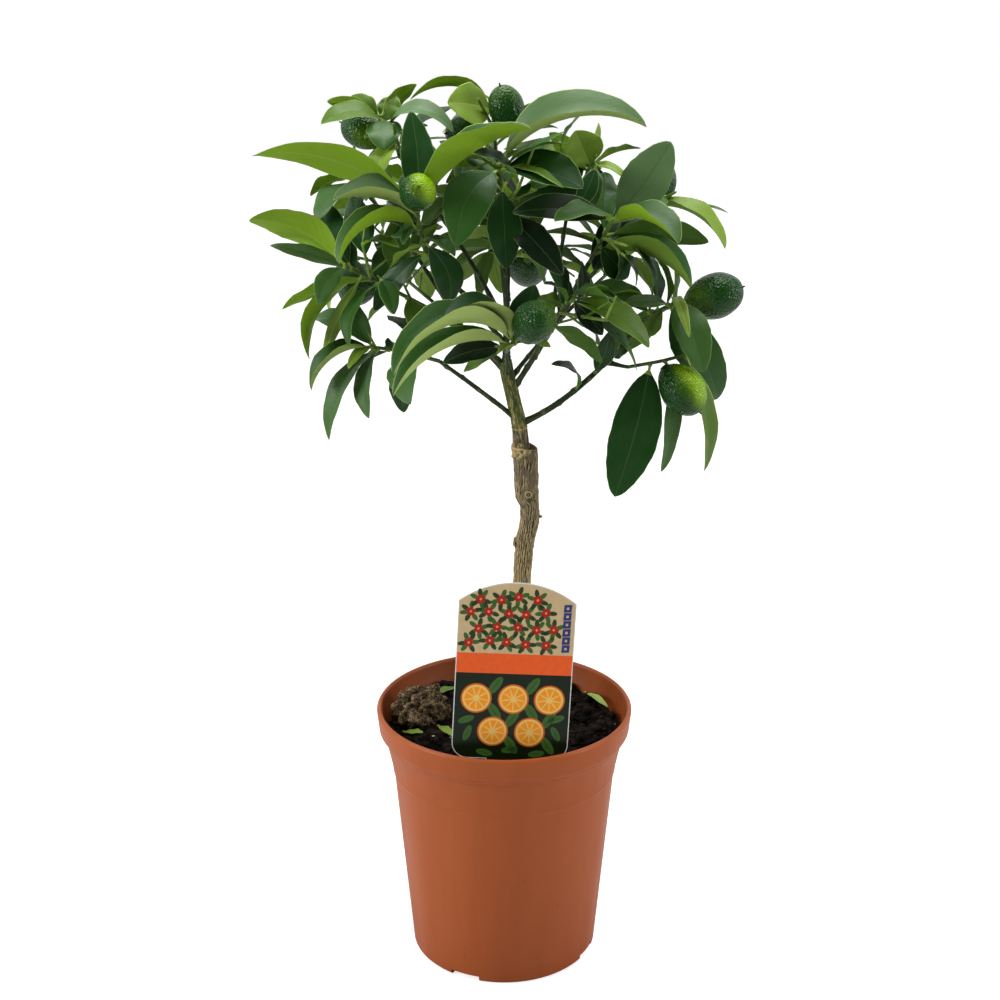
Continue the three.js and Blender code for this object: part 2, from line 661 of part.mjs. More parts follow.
// The shoots of a mass: its stem, and twigs that leave the stem in a spiral.
function growShoots(name, mass) {
  const bough = limbs.get(name);
  const way = bough.path.way(1);
  const start = bough.path.point(1).addScaledVector(way, GAP);
  const end = vec(mass.tip);
  const elbow = start.clone().lerp(end, 0.5).addScaledVector(way, RULE.elbow * start.distanceTo(end));
  const route = joints(start, elbow, end);
  const stem = {
    path: { ...route, way: (t) => (t > 0 ? route.way(t) : way) },
    radius: [bough.radius(1), RULE.stemTip],
  };
  const shoots = [stem];
  const roll = dice(mass.seed);
  for (let k = 0; k < mass.twigs; k++) {
    const share = RULE.twigsFrom + (0.5 * (k + roll() * 0.6)) / Math.max(1, mass.twigs - 1);
    const t = Math.min(share, RULE.twigsTo);
    const at = stem.path.point(t);
    const along = stem.path.way(t);
    const out = sideways(along, RULE.golden * k + 360 * roll());
    const tilt = rad(RULE.twigTilt * (0.8 + 0.4 * roll()));
    const lead = along.clone().multiplyScalar(Math.cos(tilt)).addScaledVector(out, Math.sin(tilt));
    const length = RULE.twigLength * (0.75 + 0.5 * roll());
    const twigEnd = at.clone().addScaledVector(lead, length).addScaledVector(UP, RULE.twigRise * length);
    const twig = { path: joints(at, twigEnd), radius: RULE.twigRadius };
    if (insideCrown(twigEnd) && isClear(samplesAlong(twig.path, 0.4, 4), name)) shoots.push(twig);
  }
  return shoots;
}

// Leaves along one shoot. Each is turned on by the golden angle, and tried a few ways round.
function growLeaves(name, mass, shoot, roll) {
  const grown = [];
  const count = Math.max(3, Math.round(shoot.path.length / (mass.spacing ?? RULE.spacing)));
  const spin = 360 * roll();
  for (let k = 0; k < count; k++) {
    const t = lerp(RULE.leavesFrom[shoot === mass.shoots[0] ? 0 : 1], 1, k / (count - 1));
    const draws = Array.from({ length: 6 }, roll);
    for (let attempt = 0; attempt < RULE.tries; attempt++) {
      const blade = ruleBlade(shoot, t, spin + RULE.golden * k, attempt, draws);
      const points = bladeSamples(blade);
      const reached = points.every((p) => p.distanceTo(vec(mass.tip)) < RULE.reach
        && p.z > (mass.floor ?? RULE.floor) && insideCrown(p));
      if (reached && isClear(points, name)) {
        grown.push(blade);
        take(points, name, 0);
        break;
      }
    }
  }
  return grown;
}

function insideCrown(p) {
  const [x, y, z] = [p.x, p.y, p.z].map((v, i) => (v - CROWN.middle[i]) / CROWN.size[i]);
  return x * x + y * y + z * z < 1;
}

function ruleBlade(shoot, t, spin, attempt, draws) {
  const root = shoot.path.point(t);
  const along = shoot.path.way(t);
  const out = sideways(along, spin + 40 * attempt * (attempt % 2 ? 1 : -1));
  const tilt = rad(lerp(...RULE.leafTilt, t) + 16 * (draws[0] - 0.5));
  const way = along.clone().multiplyScalar(Math.cos(tilt)).addScaledVector(out, Math.sin(tilt));
  const face = along.clone().multiplyScalar(0.5 + 0.5 * draws[1]).addScaledVector(UP, 0.9);
  face.addScaledVector(way, -face.dot(way)).normalize();
  const length = lerp(...RULE.leafLength, draws[2]) * (1 - 0.1 * attempt) * (t > 0.97 ? 0.8 : 1);
  const width = length * lerp(...RULE.slenderness, draws[3]);
  const curl = lerp(...RULE.curl, draws[4]);
  return { root, way, side: way.clone().cross(face), face, length, width, curl };
}

// A blade whose rib is a bent arc from the stem to the leaf's tip.
function namedBlade(stem, { at, tip, width, curl, looks }) {
  const root = stem.path.point(at);
  const chord = vec(tip).sub(root);
  const length = (chord.length() * rad(curl) / 2) / Math.sin(rad(curl) / 2);
  chord.normalize();
  const face = vec(looks).addScaledVector(chord, -vec(looks).dot(chord)).normalize();
  const [cos, sin] = [Math.cos(rad(curl) / 2), Math.sin(rad(curl) / 2)];
  return {
    root,
    way: chord.clone().multiplyScalar(cos).addScaledVector(face, sin),
    face: face.clone().multiplyScalar(cos).addScaledVector(chord, -sin),
    side: chord.clone().cross(face),
    length,
    width,
    curl,
  };
}

// A fruit hangs by a short stalk from the nearest point of the stem.
function placeFruit(stem, { middle, points, length, width }) {
  const way = vec(points).normalize();
  const centre = vec(middle);
  const top = centre.clone().addScaledVector(way, -length * 0.45);
  const near = samplesAlong(stem.path, 0.4, 12).sort((a, b) => a.distanceTo(top) - b.distanceTo(top))[0];
  const control = near.clone().add(top).multiplyScalar(0.5).addScaledVector(way, -1);
  return { centre, way, length, width, stalk: curve(near, control, centre) };
}

function fruitSolid({ centre, way, length, width, stalk }) {
  const ball = new THREE.SphereGeometry(1, FRUIT.facets, FRUIT.rings)
    .scale(width / 2, length / 2, width / 2)
    .applyQuaternion(new THREE.Quaternion().setFromUnitVectors(new THREE.Vector3(0, 1, 0), way))
    .translate(centre.x, centre.y, centre.z);
  return solidOf(ball).add(limb(stalk, taper(FRUIT.stalk), RULE.sides, 3));
}

function growCrown() {
  take(samplesAlong(scion, 0, 12), "trunk", 5);
  for (const [name, { path, radius }] of limbs) take(samplesAlong(path, 0, 24), "bough " + name, radius(0));
  for (const [name, mass] of Object.entries(MASSES)) {
    mass.shoots = growShoots(name, mass);
    for (const shoot of mass.shoots) take(samplesAlong(shoot.path, 0.15, 8), name, 1);
  }
  for (const [name, mass] of Object.entries(MASSES)) {
    const [stem] = mass.shoots;
    mass.hung = mass.fruit.map((row) => placeFruit(stem, row));
    for (const { centre, way, length, width } of mass.hung) {
      const ends = [-0.5, 0, 0.5].map((k) => centre.clone().addScaledVector(way, k * (length - width)));
      take(ends, name, width / 2);
    }
    mass.blades = mass.leaves.map((row) => namedBlade(stem, row));
    for (const blade of mass.blades) take(bladeSamples(blade), name, 0);
  }
  for (const [name, mass] of Object.entries(MASSES)) {
    const roll = dice(mass.seed + 100);
    for (const shoot of mass.shoots) mass.blades.push(...growLeaves(name, mass, shoot, roll));
  }
}

function massSolid(mass) {
  const pieces = mass.shoots.map(({ path, radius }, k) => limb(path, taper(radius), RULE.sides, k ? 1 : 2));
  pieces.push(...mass.hung.map(fruitSolid), ...mass.blades.map(bladeSolid));
  return largest(wasm.Manifold.union(pieces));
}

// ---------------------------------------------------------------- assembly

const FINISHES = {
  pot: finish(0xb0603c, 0.5),
  soil: finish(0x2a211b, 0.95),
  label: finish(0xe9e4d6, 0.35),
  trunk: finish(0x7d7156, 0.85),
  bough: finish(0x3d4a2a, 0.7),
  foliage: finish(0x2f5a26, 0.45),
};

const tree = new THREE.Group();
tree.name = "kumquat_tree";
tree.add(meshOf(makePot(), "pot", FINISHES.pot));
tree.add(meshOf(makeSoil(), "soil", FINISHES.soil));
tree.add(meshOf(makeLabel(), "label", FINISHES.label));
tree.add(meshOf(makeTrunk(0), "trunk", FINISHES.trunk));

growBoughs();
growCrown();

// Each bough is cut clear of the trunk and of the boughs before it.
const earlier = [makeTrunk(GAP)];
for (const [name, { path, radius }] of limbs) {
  const whole = limb(path, radius, BOUGH.sides, BOUGH.steps);
  const cut = earlier.reduce((bough, other) => bough.subtract(other), whole);
  earlier.push(limb(path, (t) => radius(t) + GAP, BOUGH.sides, BOUGH.steps));
  tree.add(meshOf(largest(cut), "bough_" + name, FINISHES.bough));
}
for (const [name, mass] of Object.entries(MASSES)) {
  tree.add(meshOf(massSolid(mass), "foliage_" + name, FINISHES.foliage));
}

export default tree;
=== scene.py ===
"""A potted kumquat tree: turned plastic pot, compost, printed label, grafted trunk and a leafy crown.

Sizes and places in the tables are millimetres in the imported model's frame, and meshes are made in metres.
The crown grows by the same rule as the solids' own, and is then carried on to finer twigs and leaves.
"""

import math

import bmesh
import bpy
import numpy as np
from bpy.props import FloatProperty, FloatVectorProperty, IntProperty, PointerProperty
from bpy.types import Operator, Panel, PropertyGroup
from mathutils import Matrix, Vector, noise


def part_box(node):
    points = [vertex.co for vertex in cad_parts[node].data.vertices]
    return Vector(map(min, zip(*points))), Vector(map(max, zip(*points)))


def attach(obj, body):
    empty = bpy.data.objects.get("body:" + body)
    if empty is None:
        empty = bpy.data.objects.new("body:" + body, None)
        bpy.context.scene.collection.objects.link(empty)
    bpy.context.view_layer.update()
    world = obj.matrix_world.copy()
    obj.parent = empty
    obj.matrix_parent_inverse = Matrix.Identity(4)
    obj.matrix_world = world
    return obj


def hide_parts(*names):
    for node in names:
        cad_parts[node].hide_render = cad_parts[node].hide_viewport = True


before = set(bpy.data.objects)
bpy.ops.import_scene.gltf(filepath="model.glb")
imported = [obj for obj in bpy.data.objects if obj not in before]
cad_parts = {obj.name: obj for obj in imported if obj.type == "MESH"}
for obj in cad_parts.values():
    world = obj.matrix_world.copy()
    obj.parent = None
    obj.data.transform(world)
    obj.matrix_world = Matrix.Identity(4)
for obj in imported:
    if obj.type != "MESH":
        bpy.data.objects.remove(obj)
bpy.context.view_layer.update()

bl_info = {
    "name": "Potted Kumquat Tree",
    "version": (1, 0, 0),
    "blender": (4, 5, 0),
    "location": "3D View > Sidebar > Kumquat",
    "description": "Makes the pot, compost, label, bark, twigs, leaves and fruit of a potted kumquat",
    "category": "Add Mesh",
}

MM = 0.001
WELD = 0.01 * MM

# ---- the plant's tables

LABEL = {
    "width": 64.6, "height": 99, "crest": 11, "foot": -2.6, "corner": 9, "thickness": 0.8,
    "stake_width": 26, "stake_length": 34,
    "at": (2.6, -57, 150.3), "lean_back": 6, "roll": 3.4, "turn": 3,
    "border": 0.5, "band": (47, 58.5),
}

TRUNK = {
    "stock": [
        (2.5, 0, 141.3), (6, 0, 180), (9.8, 0, 228), (11.6, 0, 254), (14.2, 0, 268), (14.2, 0, 278),
        (12.7, 0, 285), (12.2, 0, 296), (11.6, 0, 313),
    ],
    "scion": [(9.9, 0, 298), (9.2, 0, 314), (8.2, 0, 325), (5.1, 0, 339), (2.6, 0, 350), (0.4, 0, 361)],
    "stock_radius": [(141.3, 5.3), (228, 5.0), (254, 5.2), (278, 5.3), (284, 6.5), (307, 7.0), (313, 6.7)],
    "scion_radius": [(298, 4.3), (314, 4.4), (325, 4.1), (339, 3.9), (361, 3.6)],
    "flare": 3.2, "flare_height": 7,
    "cut_height": 312.6, "cut_slope": 14, "callus": {"at": (9.8, 0, 312.2), "radius": 4.4, "lumps": 10},
    "knots": [((7.0, 0, 255), 1.9, (1, 1, 1.9)), ((19.4, -1, 271), 1.2, (1.7, 0.6, 0.7))],
    "scar": ((13.4, -6.4, 286), 2.4),
    "scar_height": 323.5,
}

LEAF = {"stalk": 0.07, "stalk_width": 0.55, "fold": 9, "petiole": 0.75}

RULE = {
    "golden": 137.5, "elbow": 0.08, "stem_tip": 1.3, "twig_radius": (1.4, 1.1),
    "twigs_from": 0.35, "twigs_to": 0.9, "twig_tilt": 52, "twig_length": 26, "twig_rise": 0.15,
    "leaf_tilt": (74, 36), "tilt_play": 16, "leaf_length": (40, 62), "slenderness": (0.34, 0.43),
    "curl": (30, 75), "end_leaf": 0.8, "leaves_from": (0.4, 0.3),
    "tries": 9, "retry_turn": 40, "retry_shrink": 0.1,
    "clear_of_others": 4, "clear_of_own": 2.6, "loose_base": 0.3, "reach": 66, "bough_gap": 0.3,
}

# Side shoots that only the dressed tree has: where there is room, each carries a few small leaves.
FINE = {
    "every": 12, "from": 0.15, "to": 0.95, "length": (9, 20), "radius": (0.8, 0.55), "leaves": 3,
    "leaves_from": 0.5, "leaf_length": (27, 44), "slenderness": (0.36, 0.46), "tries": 4, "retry_shrink": 0.12,
    "clear_of_others": 1.5, "clear_of_own": 1.2, "crown": 0.8, "above_floor": 14,
}

# What each row of draws starts from. The masses add the first two to their own.
SEEDS = {
    "grown": 100, "fine": 300, "crumbs": 71, "flowers": 17, "fallen_leaves": 88,
    "tints": {"leaves": 501, "small_leaves": 502}, "forms": {"leaves": 551, "small_leaves": 552},
}

CROWN = {"middle": (-4, 2, 402), "size": (112, 108, 104)}

# Limbs: name, parent, height on the trunk or share of the parent, tip, lift, radii at foot and tip.
BOUGHS = [
    ("left_low", "trunk", 327, (-35, -6, 362), 1, (2.0, 1.6)),
    ("right_mid", "trunk", 325, (75, 0, 383), -15, (2.6, 1.8)),
    ("right_low", "right_mid", 0.72, (67, -10, 360), -1, (1.7, 1.4)),
    ("right_high", "trunk", 344, (45, -10, 417), -5, (2.4, 1.6)),
    ("rear_right", "trunk", 350, (46, 42, 390), 3, (1.9, 1.4)),
    ("rear_left", "trunk", 353, (-44, 42, 388), 3, (1.9, 1.4)),
    ("front", "trunk", 353, (1, -22, 371), 1, (1.9, 1.5)),
    ("left_mid", "trunk", 357, (-43, -8, 393), 3, (2.2, 1.6)),
    ("rear", "trunk", 356, (2, 44, 404), 5, (2.2, 1.5)),
    ("centre", "trunk", 359, (2, -14, 430), 2, (2.7, 1.7)),
    ("front_right", "right_high", 0.3, (22, -27, 384), 1, (1.7, 1.4)),
    ("left_high", "centre", 0.14, (-38, -24, 420), 4, (2.1, 1.6)),
    ("crown_left", "centre", 0.3, (-45, 10, 453), 8, (1.9, 1.5)),
    ("crown_top", "centre", 0.5, (-4, 16, 466), 2, (1.8, 1.4)),
    ("crown_right", "right_high", 0.5, (34, 12, 440), 4, (1.8, 1.4)),
    ("right_rear", "right_high", 0.62, (62, 20, 419), 4, (1.8, 1.4)),
    ("left_rear", "left_mid", 0.5, (-58, 26, 428), 3, (1.7, 1.4)),
    ("rear_high", "rear", 0.45, (-6, 46, 448), 4, (1.8, 1.4)),
]

# The way a leaf's upper face looks.
UPWARD = (0, 0, 1)
FORWARD = (0, -1, 0.3)
BACKWARD = (0, 1, 0.5)
OUT_RIGHT = (1, -0.5, 0.2)
OUT_LEFT = (-1, -0.8, 0.2)
ASIDE_RIGHT = (1, -1, 0.2)
UP_FORWARD = (0, -0.7, 1)
UP_BACKWARD = (0, 0.6, 1)
BACK_UP = (0, 1, 1)

# Masses: tip, seed, twigs, lowest leaf, leaf spacing, fruit and leaves placed by name. A fruit is its
# middle, the way it points, length and width. A leaf is its share of the stem, tip, width, curl, look, tint.
MASSES = {
    "left_low": ((-71, -14, 372), 37, 0, 335, 12, [], [
        (1, (-83, -10, 397), 13, 15, FORWARD, "grey"),
        (1, (-104, -22, 350), 18, 92, UPWARD, "mid_pale"),
        (0.95, (-96, -18, 321), 18, 56, OUT_LEFT, "grey"),
        (0.9, (-73, -28, 336), 15, 40, OUT_LEFT, "grey"),
        (0.4, (-56, 2, 331), 13, 20, FORWARD, "deep"),
    ]),
    "right_low": ((97, -16, 368), 54, 0, 335, 6.4, [((96, -22, 350), (0.5, -0.3, -0.6), 29, 24)], [
        (0.35, (60, -32, 293), 30, 12, FORWARD, "deep"),
        (0.6, (87, -12, 301), 13, 44, ASIDE_RIGHT, "grey"),
        (1, (111, -8, 300), 13, 55, ASIDE_RIGHT, "olive"),
    ]),
    "right_mid": ((93, 2, 393), 34, 1, 335, 6.4, [((114, 0, 397), (0.9, -0.2, 0.35), 31, 25)], [
        (1, (106, -22, 360), 17, 80, FORWARD, "grey"),
        (0.9, (118, 4, 338), 18, 88, OUT_RIGHT, "mid"),
        (0.8, (103, 8, 354), 15, 50, FORWARD, "deep"),
        (0.8, (62, -16, 394), 13, 50, UP_FORWARD, "bloom"),
    ]),
    "left_mid": ((-84, -16, 416), 33, 1, 360, 6.4, [], [
        (1, (-132, -30, 443), 24, 70, BACK_UP, "bright"),
        (0.9, (-124, -14, 427), 14, 20, UPWARD, "bloom"),
        (0.7, (-103, -34, 370), 22, 104, UP_BACKWARD, "bright"),
        (0.6, (-120, -6, 391), 15, 30, UP_BACKWARD, "olive"),
        (1, (-98, -28, 398), 14, 50, FORWARD, "grey"),
        (0.3, (-66, 4, 424), 21, 15, FORWARD, "mid"),
        (0.2, (-44, -14, 379), 14, 40, UP_FORWARD, "olive"),
    ]),
    "left_high": ((-45, -36, 448), 32, 0, 380, 6.4, [((-44, -44, 459), (0.1, -1, 0.4), 22, 19)], [
        (1, (-126, -50, 478), 24, 75, BACK_UP, "olive"),
        (1, (-48, -20, 497), 17, 10, FORWARD, "deep"),
        (1, (13, -46, 491), 22, 45, BACK_UP, "mid_young"),
        (0.9, (-87, -44, 455), 16, 60, UP_FORWARD, "bloom_pale"),
        (0.6, (-84, -52, 424), 20, 110, UPWARD, "grey_young"),
        (0.7, (-29, -16, 451), 15, 30, BACKWARD, "deep"),
        (0.35, (-29, -20, 396), 17, 30, FORWARD, "deep"),
        (0.3, (-60, -20, 414), 15, 60, UPWARD, "olive"),
    ]),
    "centre": ((-3, -22, 469), 34, 1, 380, 6.4, [], [
        (1, (72, -30, 490), 28, 122, UP_FORWARD, "bloom_pale"),
        (0.95, (-25, -50, 433), 27, 60, FORWARD, "mid"),
        (0.95, (39, -50, 462), 20, 50, UP_FORWARD, "deep_young"),
        (0.55, (50, -34, 452), 17, 30, UP_FORWARD, "deep"),
        (0.7, (1, -34, 418), 19, 30, FORWARD, "deep"),
        (0.3, (30, -40, 416), 14, 50, OUT_RIGHT, "dark"),
    ]),
    "right_high": ((56, -22, 441), 35, 1, 380, 6.4, [], [
        (1, (86, -16, 481), 25, 15, FORWARD, "bloom"),
        (1, (98, -44, 433), 18, 115, UP_BACKWARD, "grey_young"),
        (1, (24, -44, 445), 13, 80, UPWARD, "dark"),
        (0.2, (98, -24, 406), 23, 90, UPWARD, "mid"),
        (0.6, (109, -4, 427), 22, 30, BACK_UP, "deep"),
    ]),
    "front": ((5, -40, 380), 38, 0, 366, 6.4, [((15, -52, 394), (0.4, -0.6, 0.5), 27, 22)], [
        (1, (-56, -76, 372), 23, 105, UP_FORWARD, "mid_pale"),
        (0.8, (-57, -68, 359), 14, 70, UPWARD, "mid_pale"),
        (0.9, (-33, -62, 395), 18, 110, UP_FORWARD, "deep_pale"),
        (0.6, (16, -30, 409), 18, 15, FORWARD, "deep"),
    ]),
    "front_right": ((35, -35, 403), 35, 1, 352, 6.4, [], [
        (0.9, (77, -12, 372), 19, 70, BACK_UP, "olive"),
        (1, (52, -46, 388), 14, 40, FORWARD, "dark"),
        (0.15, (52, -26, 366), 15, 50, BACK_UP, "deep"),
    ]),
    "crown_left": ((-66, 8, 491), 48, 1, 420, 6.4, [((-76, 18, 483), (-0.8, 0.1, 0.3), 24, 19)], [
        (1, (-93, 2, 500), 10, 50, BACKWARD, "fresh"),
        (1, (-81, 14, 502), 12, 40, FORWARD, "olive"),
        (0.95, (-96, -4, 489), 14, 90, UPWARD, "olive"),
        (1, (-47, 22, 507), 11, 30, BACKWARD, "bright"),
        (0.75, (-27, -2, 484), 22, 150, UP_FORWARD, "bloom"),
    ]),
    "crown_top": ((-7, 20, 499), 38, 2, 420, 6.4, [
        ((1, 10, 496), (-0.3, -0.2, 1), 24, 19),
        ((-21, 20, 482), (-0.8, -0.4, 0), 22, 19),
    ], [
        (1, (-50, 10, 500), 15, 80, UP_BACKWARD, "olive"),
        (0.8, (-30, 4, 499), 17, 40, BACKWARD, "bright"),
    ]),
    "crown_right": ((46, 8, 465), 37, 2, 420, 6.4, [], [
        (1, (43, 4, 485), 15, 15, BACKWARD, "bright"),
        (0.9, (24, 18, 482), 14, 20, BACKWARD, "olive"),
        (1, (50, 12, 488), 9, 20, OUT_RIGHT, "bright"),
        (1, (73, 16, 474), 12, 50, UP_BACKWARD, "mid"),
    ]),
    "right_rear": ((79, 22, 444), 37, 2, 352, 6.4, [((84, 26, 455), (0.1, 0.3, 1), 25, 20)], [
        (0.9, (119, 4, 422), 19, 84, UPWARD, "bright"),
        (1, (123, 26, 438), 12, 30, UPWARD, "grey"),
    ]),
    "left_rear": ((-82, 14, 458), 41, 2, 352, 6.4, [], [
        (1, (-105, 14, 449), 14, 70, UP_BACKWARD, "bright"),
        (0.9, (-100, 0, 438), 19, 80, OUT_LEFT, "grey"),
    ]),
    "rear": ((2, 72, 418), 54, 3, 370, 6.4, [((14, 80, 398), (0, 1, -0.5), 28, 23)], []),
    "rear_high": ((-8, 60, 474), 25, 3, 352, 6.4, [], []),
    "rear_right": ((72, 64, 408), 52, 3, 370, 6.4, [], []),
    "rear_left": ((-68, 62, 404), 51, 3, 370, 6.4, [((-84, 56, 392), (-0.6, 0.4, -0.7), 27, 22)], []),
}

# How a leaf of the tables differs once it is dressed, by mass and number. Fold is how far each half is raised,
# bow how far the rib bends to the right as a share of its length, lean how far the face turns from the sky to
# the front, and foot and point how pointed the two ends are.
DRESS = {
    "left_low": {
        0: dict(bow=-0.06, fold=22), 1: dict(width=19, fold=42, lean=6), 2: dict(width=15, fold=18, bow=-0.05),
        3: dict(width=16, bow=-0.09, fold=18), 4: dict(width=14, bow=-0.07),
    },
    "right_low": {0: dict(width=27, fold=8, bow=0.02, foot=0.6, point=0.6), 2: dict(width=14, fold=20)},
    "right_mid": {
        0: dict(tip=(106, -26, 361), width=20, curl=100, lean=55, fold=14), 1: dict(width=22, fold=12, lean=62),
    },
    "left_mid": {
        0: dict(width=26, fold=12, lean=-46), 1: dict(width=12, fold=12, lean=30), 2: dict(fold=14, bow=0.03),
        4: dict(width=13, bow=-0.12),
    },
    "left_high": {
        0: dict(width=25, fold=6, point=1.05), 1: dict(width=18, bow=0.04, fold=14),
        2: dict(width=33, curl=48, lean=3, fold=54), 3: dict(width=27, lean=13, fold=50),
        4: dict(width=26, lean=-5, fold=45), 6: dict(bow=0.14),
    },
    "centre": {
        0: dict(width=34, curl=92, lean=22, fold=42), 1: dict(width=25, bow=-0.12, fold=10),
        2: dict(width=28, lean=30, fold=20), 3: dict(tip=(51, -5, 447), width=19, lean=40, fold=20),
        5: dict(width=18, lean=60),
    },
    "right_high": {
        0: dict(width=25, fold=7, bow=0.03, point=0.6),
        1: dict(tip=(88, -50, 434), width=27, curl=68, lean=-2, fold=46),
        2: dict(tip=(4, -46, 449), width=20, curl=44, lean=40, fold=16),
        3: dict(width=30, curl=72, lean=-2, fold=54),
    },
    "front": {
        0: dict(width=29, curl=112, lean=4, fold=54), 1: dict(width=23, curl=82, lean=3, fold=54),
        2: dict(width=25, lean=8, fold=46),
    },
    "front_right": {
        0: dict(tip=(76, -36, 377), width=19, curl=70, lean=30, fold=20),
        1: dict(tip=(51, -42, 385), width=12, lean=60),
    },
    "crown_left": {2: dict(width=18, lean=30, fold=14), 4: dict(width=15, fold=20, lean=25)},
    "crown_top": {0: dict(width=18, fold=22, lean=-24), 1: dict(width=24, fold=12, lean=60)},
    "crown_right": {0: dict(tip=(37, 0, 485), width=23, lean=75, fold=20)},
    "right_rear": {0: dict(width=22, fold=32, lean=6)},
}

# Leaves of the rule that the dressed tree has shed, because the broader leaves around them took their light.
SHED = {
    "crown_top": (3, 4, 5), "crown_right": (3, 8, 10, 11, 12), "right_high": (2, 3, 4, 5, 6, 7, 8),
    "front_right": (6, 7, 8), "front": (1, 2), "centre": (6, 7), "left_mid": (3, 6, 7, 9), "left_rear": (4, 10),
    "rear_left": (9,), "right_low": (0,), "crown_left": (6,),
}
SHED_FINE = {
    "front_right": (0, 4, 5, 7, 8, 9, 10), "centre": (10,), "left_mid": (4, 5), "left_high": (0, 1, 2),
    "left_low": (1, 3, 4), "right_high": (2,),
}

# Leaves that only the dressed tree has, by the bough or the stem that they grow on: their share of it, tip,
# width, curl, lean and tint.
MORE_ON_BOUGHS = {
    "right_mid": [
        (0.47, (25, -24, 365), 10, 90, 40, "deep"), (0.62, (57, -14, 381), 11, 30, 70, "deep"),
        (0.76, (68, -14, 373), 10, 24, 60, "deep"),
    ],
}
MORE_ON_STEMS = {
    "crown_left": [(0.95, (-63, -14, 477), 20, 60, 35, "grey"), (0.9, (-58, 16, 502), 13, 30, 70, "olive")],
    "left_low": [(0.8, (-57, 4, 366), 12, 40, 50, "deep"), (1, (-83, -30, 364), 8, 60, 20, "bright")],
    "left_mid": [(0.75, (-98, -10, 366), 8, 40, 60, "bright")],
    "front_right": [(0.7, (17, -32, 402), 14, 40, 25, "olive")],
    "right_mid": [
        (0.25, (47, 8, 401), 16, 50, 40, "grey"), (0.6, (76, 8, 373), 11, 50, 60, "olive"),
        (0.95, (97, -34, 382), 7, 120, 20, "bright"),
    ],
    "front": [
        (0.9, (24, -44, 379), 9, 60, 30, "bright"), (0.85, (-22, -24, 361), 10, 40, 40, "olive"),
        (1, (-4, -50, 377), 3.5, 50, 30, "fresh"),
    ],
    "right_high": [(0.35, (66, -10, 409), 17, 50, 60, "deep"), (1, (25, -54, 446), 19, 70, 28, "grey_young")],
    "crown_right": [(1, (64, -6, 461), 8, 80, 20, "bright")],
    "left_high": [(0.2, (-70, -14, 392), 14, 50, 50, "deep"), (0.5, (-58, -6, 432), 15, 40, 60, "mid")],
    "centre": [(0.93, (29, -56, 463), 8, 60, 20, "olive")],
    "right_rear": [(0.9, (48, 0, 411), 22, 40, 50, "dark")],
}


# ---- settings

def srgb(red, green, blue):
    """A colour named from 0 to 255, as the linear colour that sockets take."""
    return tuple(((c / 255 + 0.055) / 1.055) ** 2.4 for c in (red, green, blue))


def shaded(tint, part):
    return tuple(c * part for c in tint)


def tint_between(first, second, part):
    return tuple(mix(a, b, part) for a, b in zip(first, second))


def colour(name, description, *tint):
    return FloatVectorProperty(
        name=name, description=description, default=srgb(*tint), size=3, subtype="COLOR", min=0, max=1
    )


def amount(name, description, default, **more):
    return FloatProperty(name=name, description=description, default=default, **more)


def length(name, description, millimetres):
    return amount(name, description, millimetres * MM, min=0, unit="LENGTH", precision=4)


def share(name, description, default):
    return amount(name, description, default, min=0, max=1, subtype="FACTOR")


class PotSettings(PropertyGroup):
    height: length("Height", "From the table to the lip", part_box("pot")[1][2] / MM)
    rim: length("Rim radius", "Outside, at the lip", 75)
    base: length("Base radius", "Outside, at the foot", 55)
    wall: length("Wall", "Thickness of the plastic", 2)
    body: colour("Plastic", "The pot's own colour", 176, 88, 38)
    streak: colour("Streaks", "Faint marks that run up the wall", 158, 77, 33)
    specks: share("Specks", "How dark the few specks of dirt are", 0.5)


class SoilSettings(PropertyGroup):
    radius: length("Radius", "Of the compost's surface", 67.9)
    level: length("Level", "Height of the surface where the trunk stands", 141)
    crumbs: IntProperty(name="Crumbs", description="Loose crumbs that lie on top", default=3200, min=0)
    damp: colour("Damp peat", "The darkest compost", 15, 10, 8)
    dry: colour("Dry peat", "Crumbs that have dried", 37, 27, 19)
    grit: colour("White grit", "The pale bits in the mix", 205, 200, 185)


class LabelSettings(PropertyGroup):
    paper: colour("Bare edge", "Unprinted plastic", 232, 230, 222)
    wall: colour("Upper field", "Ground of the flower pattern", 212, 186, 142)
    band: colour("Band", "Plain band across the label", 246, 98, 34)
    field: colour("Lower field", "Ground of the citrus pattern", 12, 30, 10)
    citrus: colour("Citrus", "Flesh of the fruit wheels", 255, 158, 20)
    gloss: share("Roughness", "Of the printed face", 0.3)


class BarkSettings(PropertyGroup):
    fissures: length("Fissures", "Depth of the cracks in the stock's bark", 0.55)
    slender: share("Slenderness", "Thickness of boughs and shoots against their solids", 0.7)
    bark: colour("Bark", "Plates of the stock's bark", 128, 116, 90)
    crack: colour("Cracks", "Between the plates", 54, 45, 32)
    cork: colour("Cork", "Tan ridges on stock and scion", 196, 172, 118)
    young: colour("Young bark", "Green-brown skin of the scion", 64, 78, 34)
    bough: colour("Boughs", "Smooth green bark", 46, 64, 32)
    shoot: colour("Shoots", "Twigs and stalks of this year", 122, 152, 54)


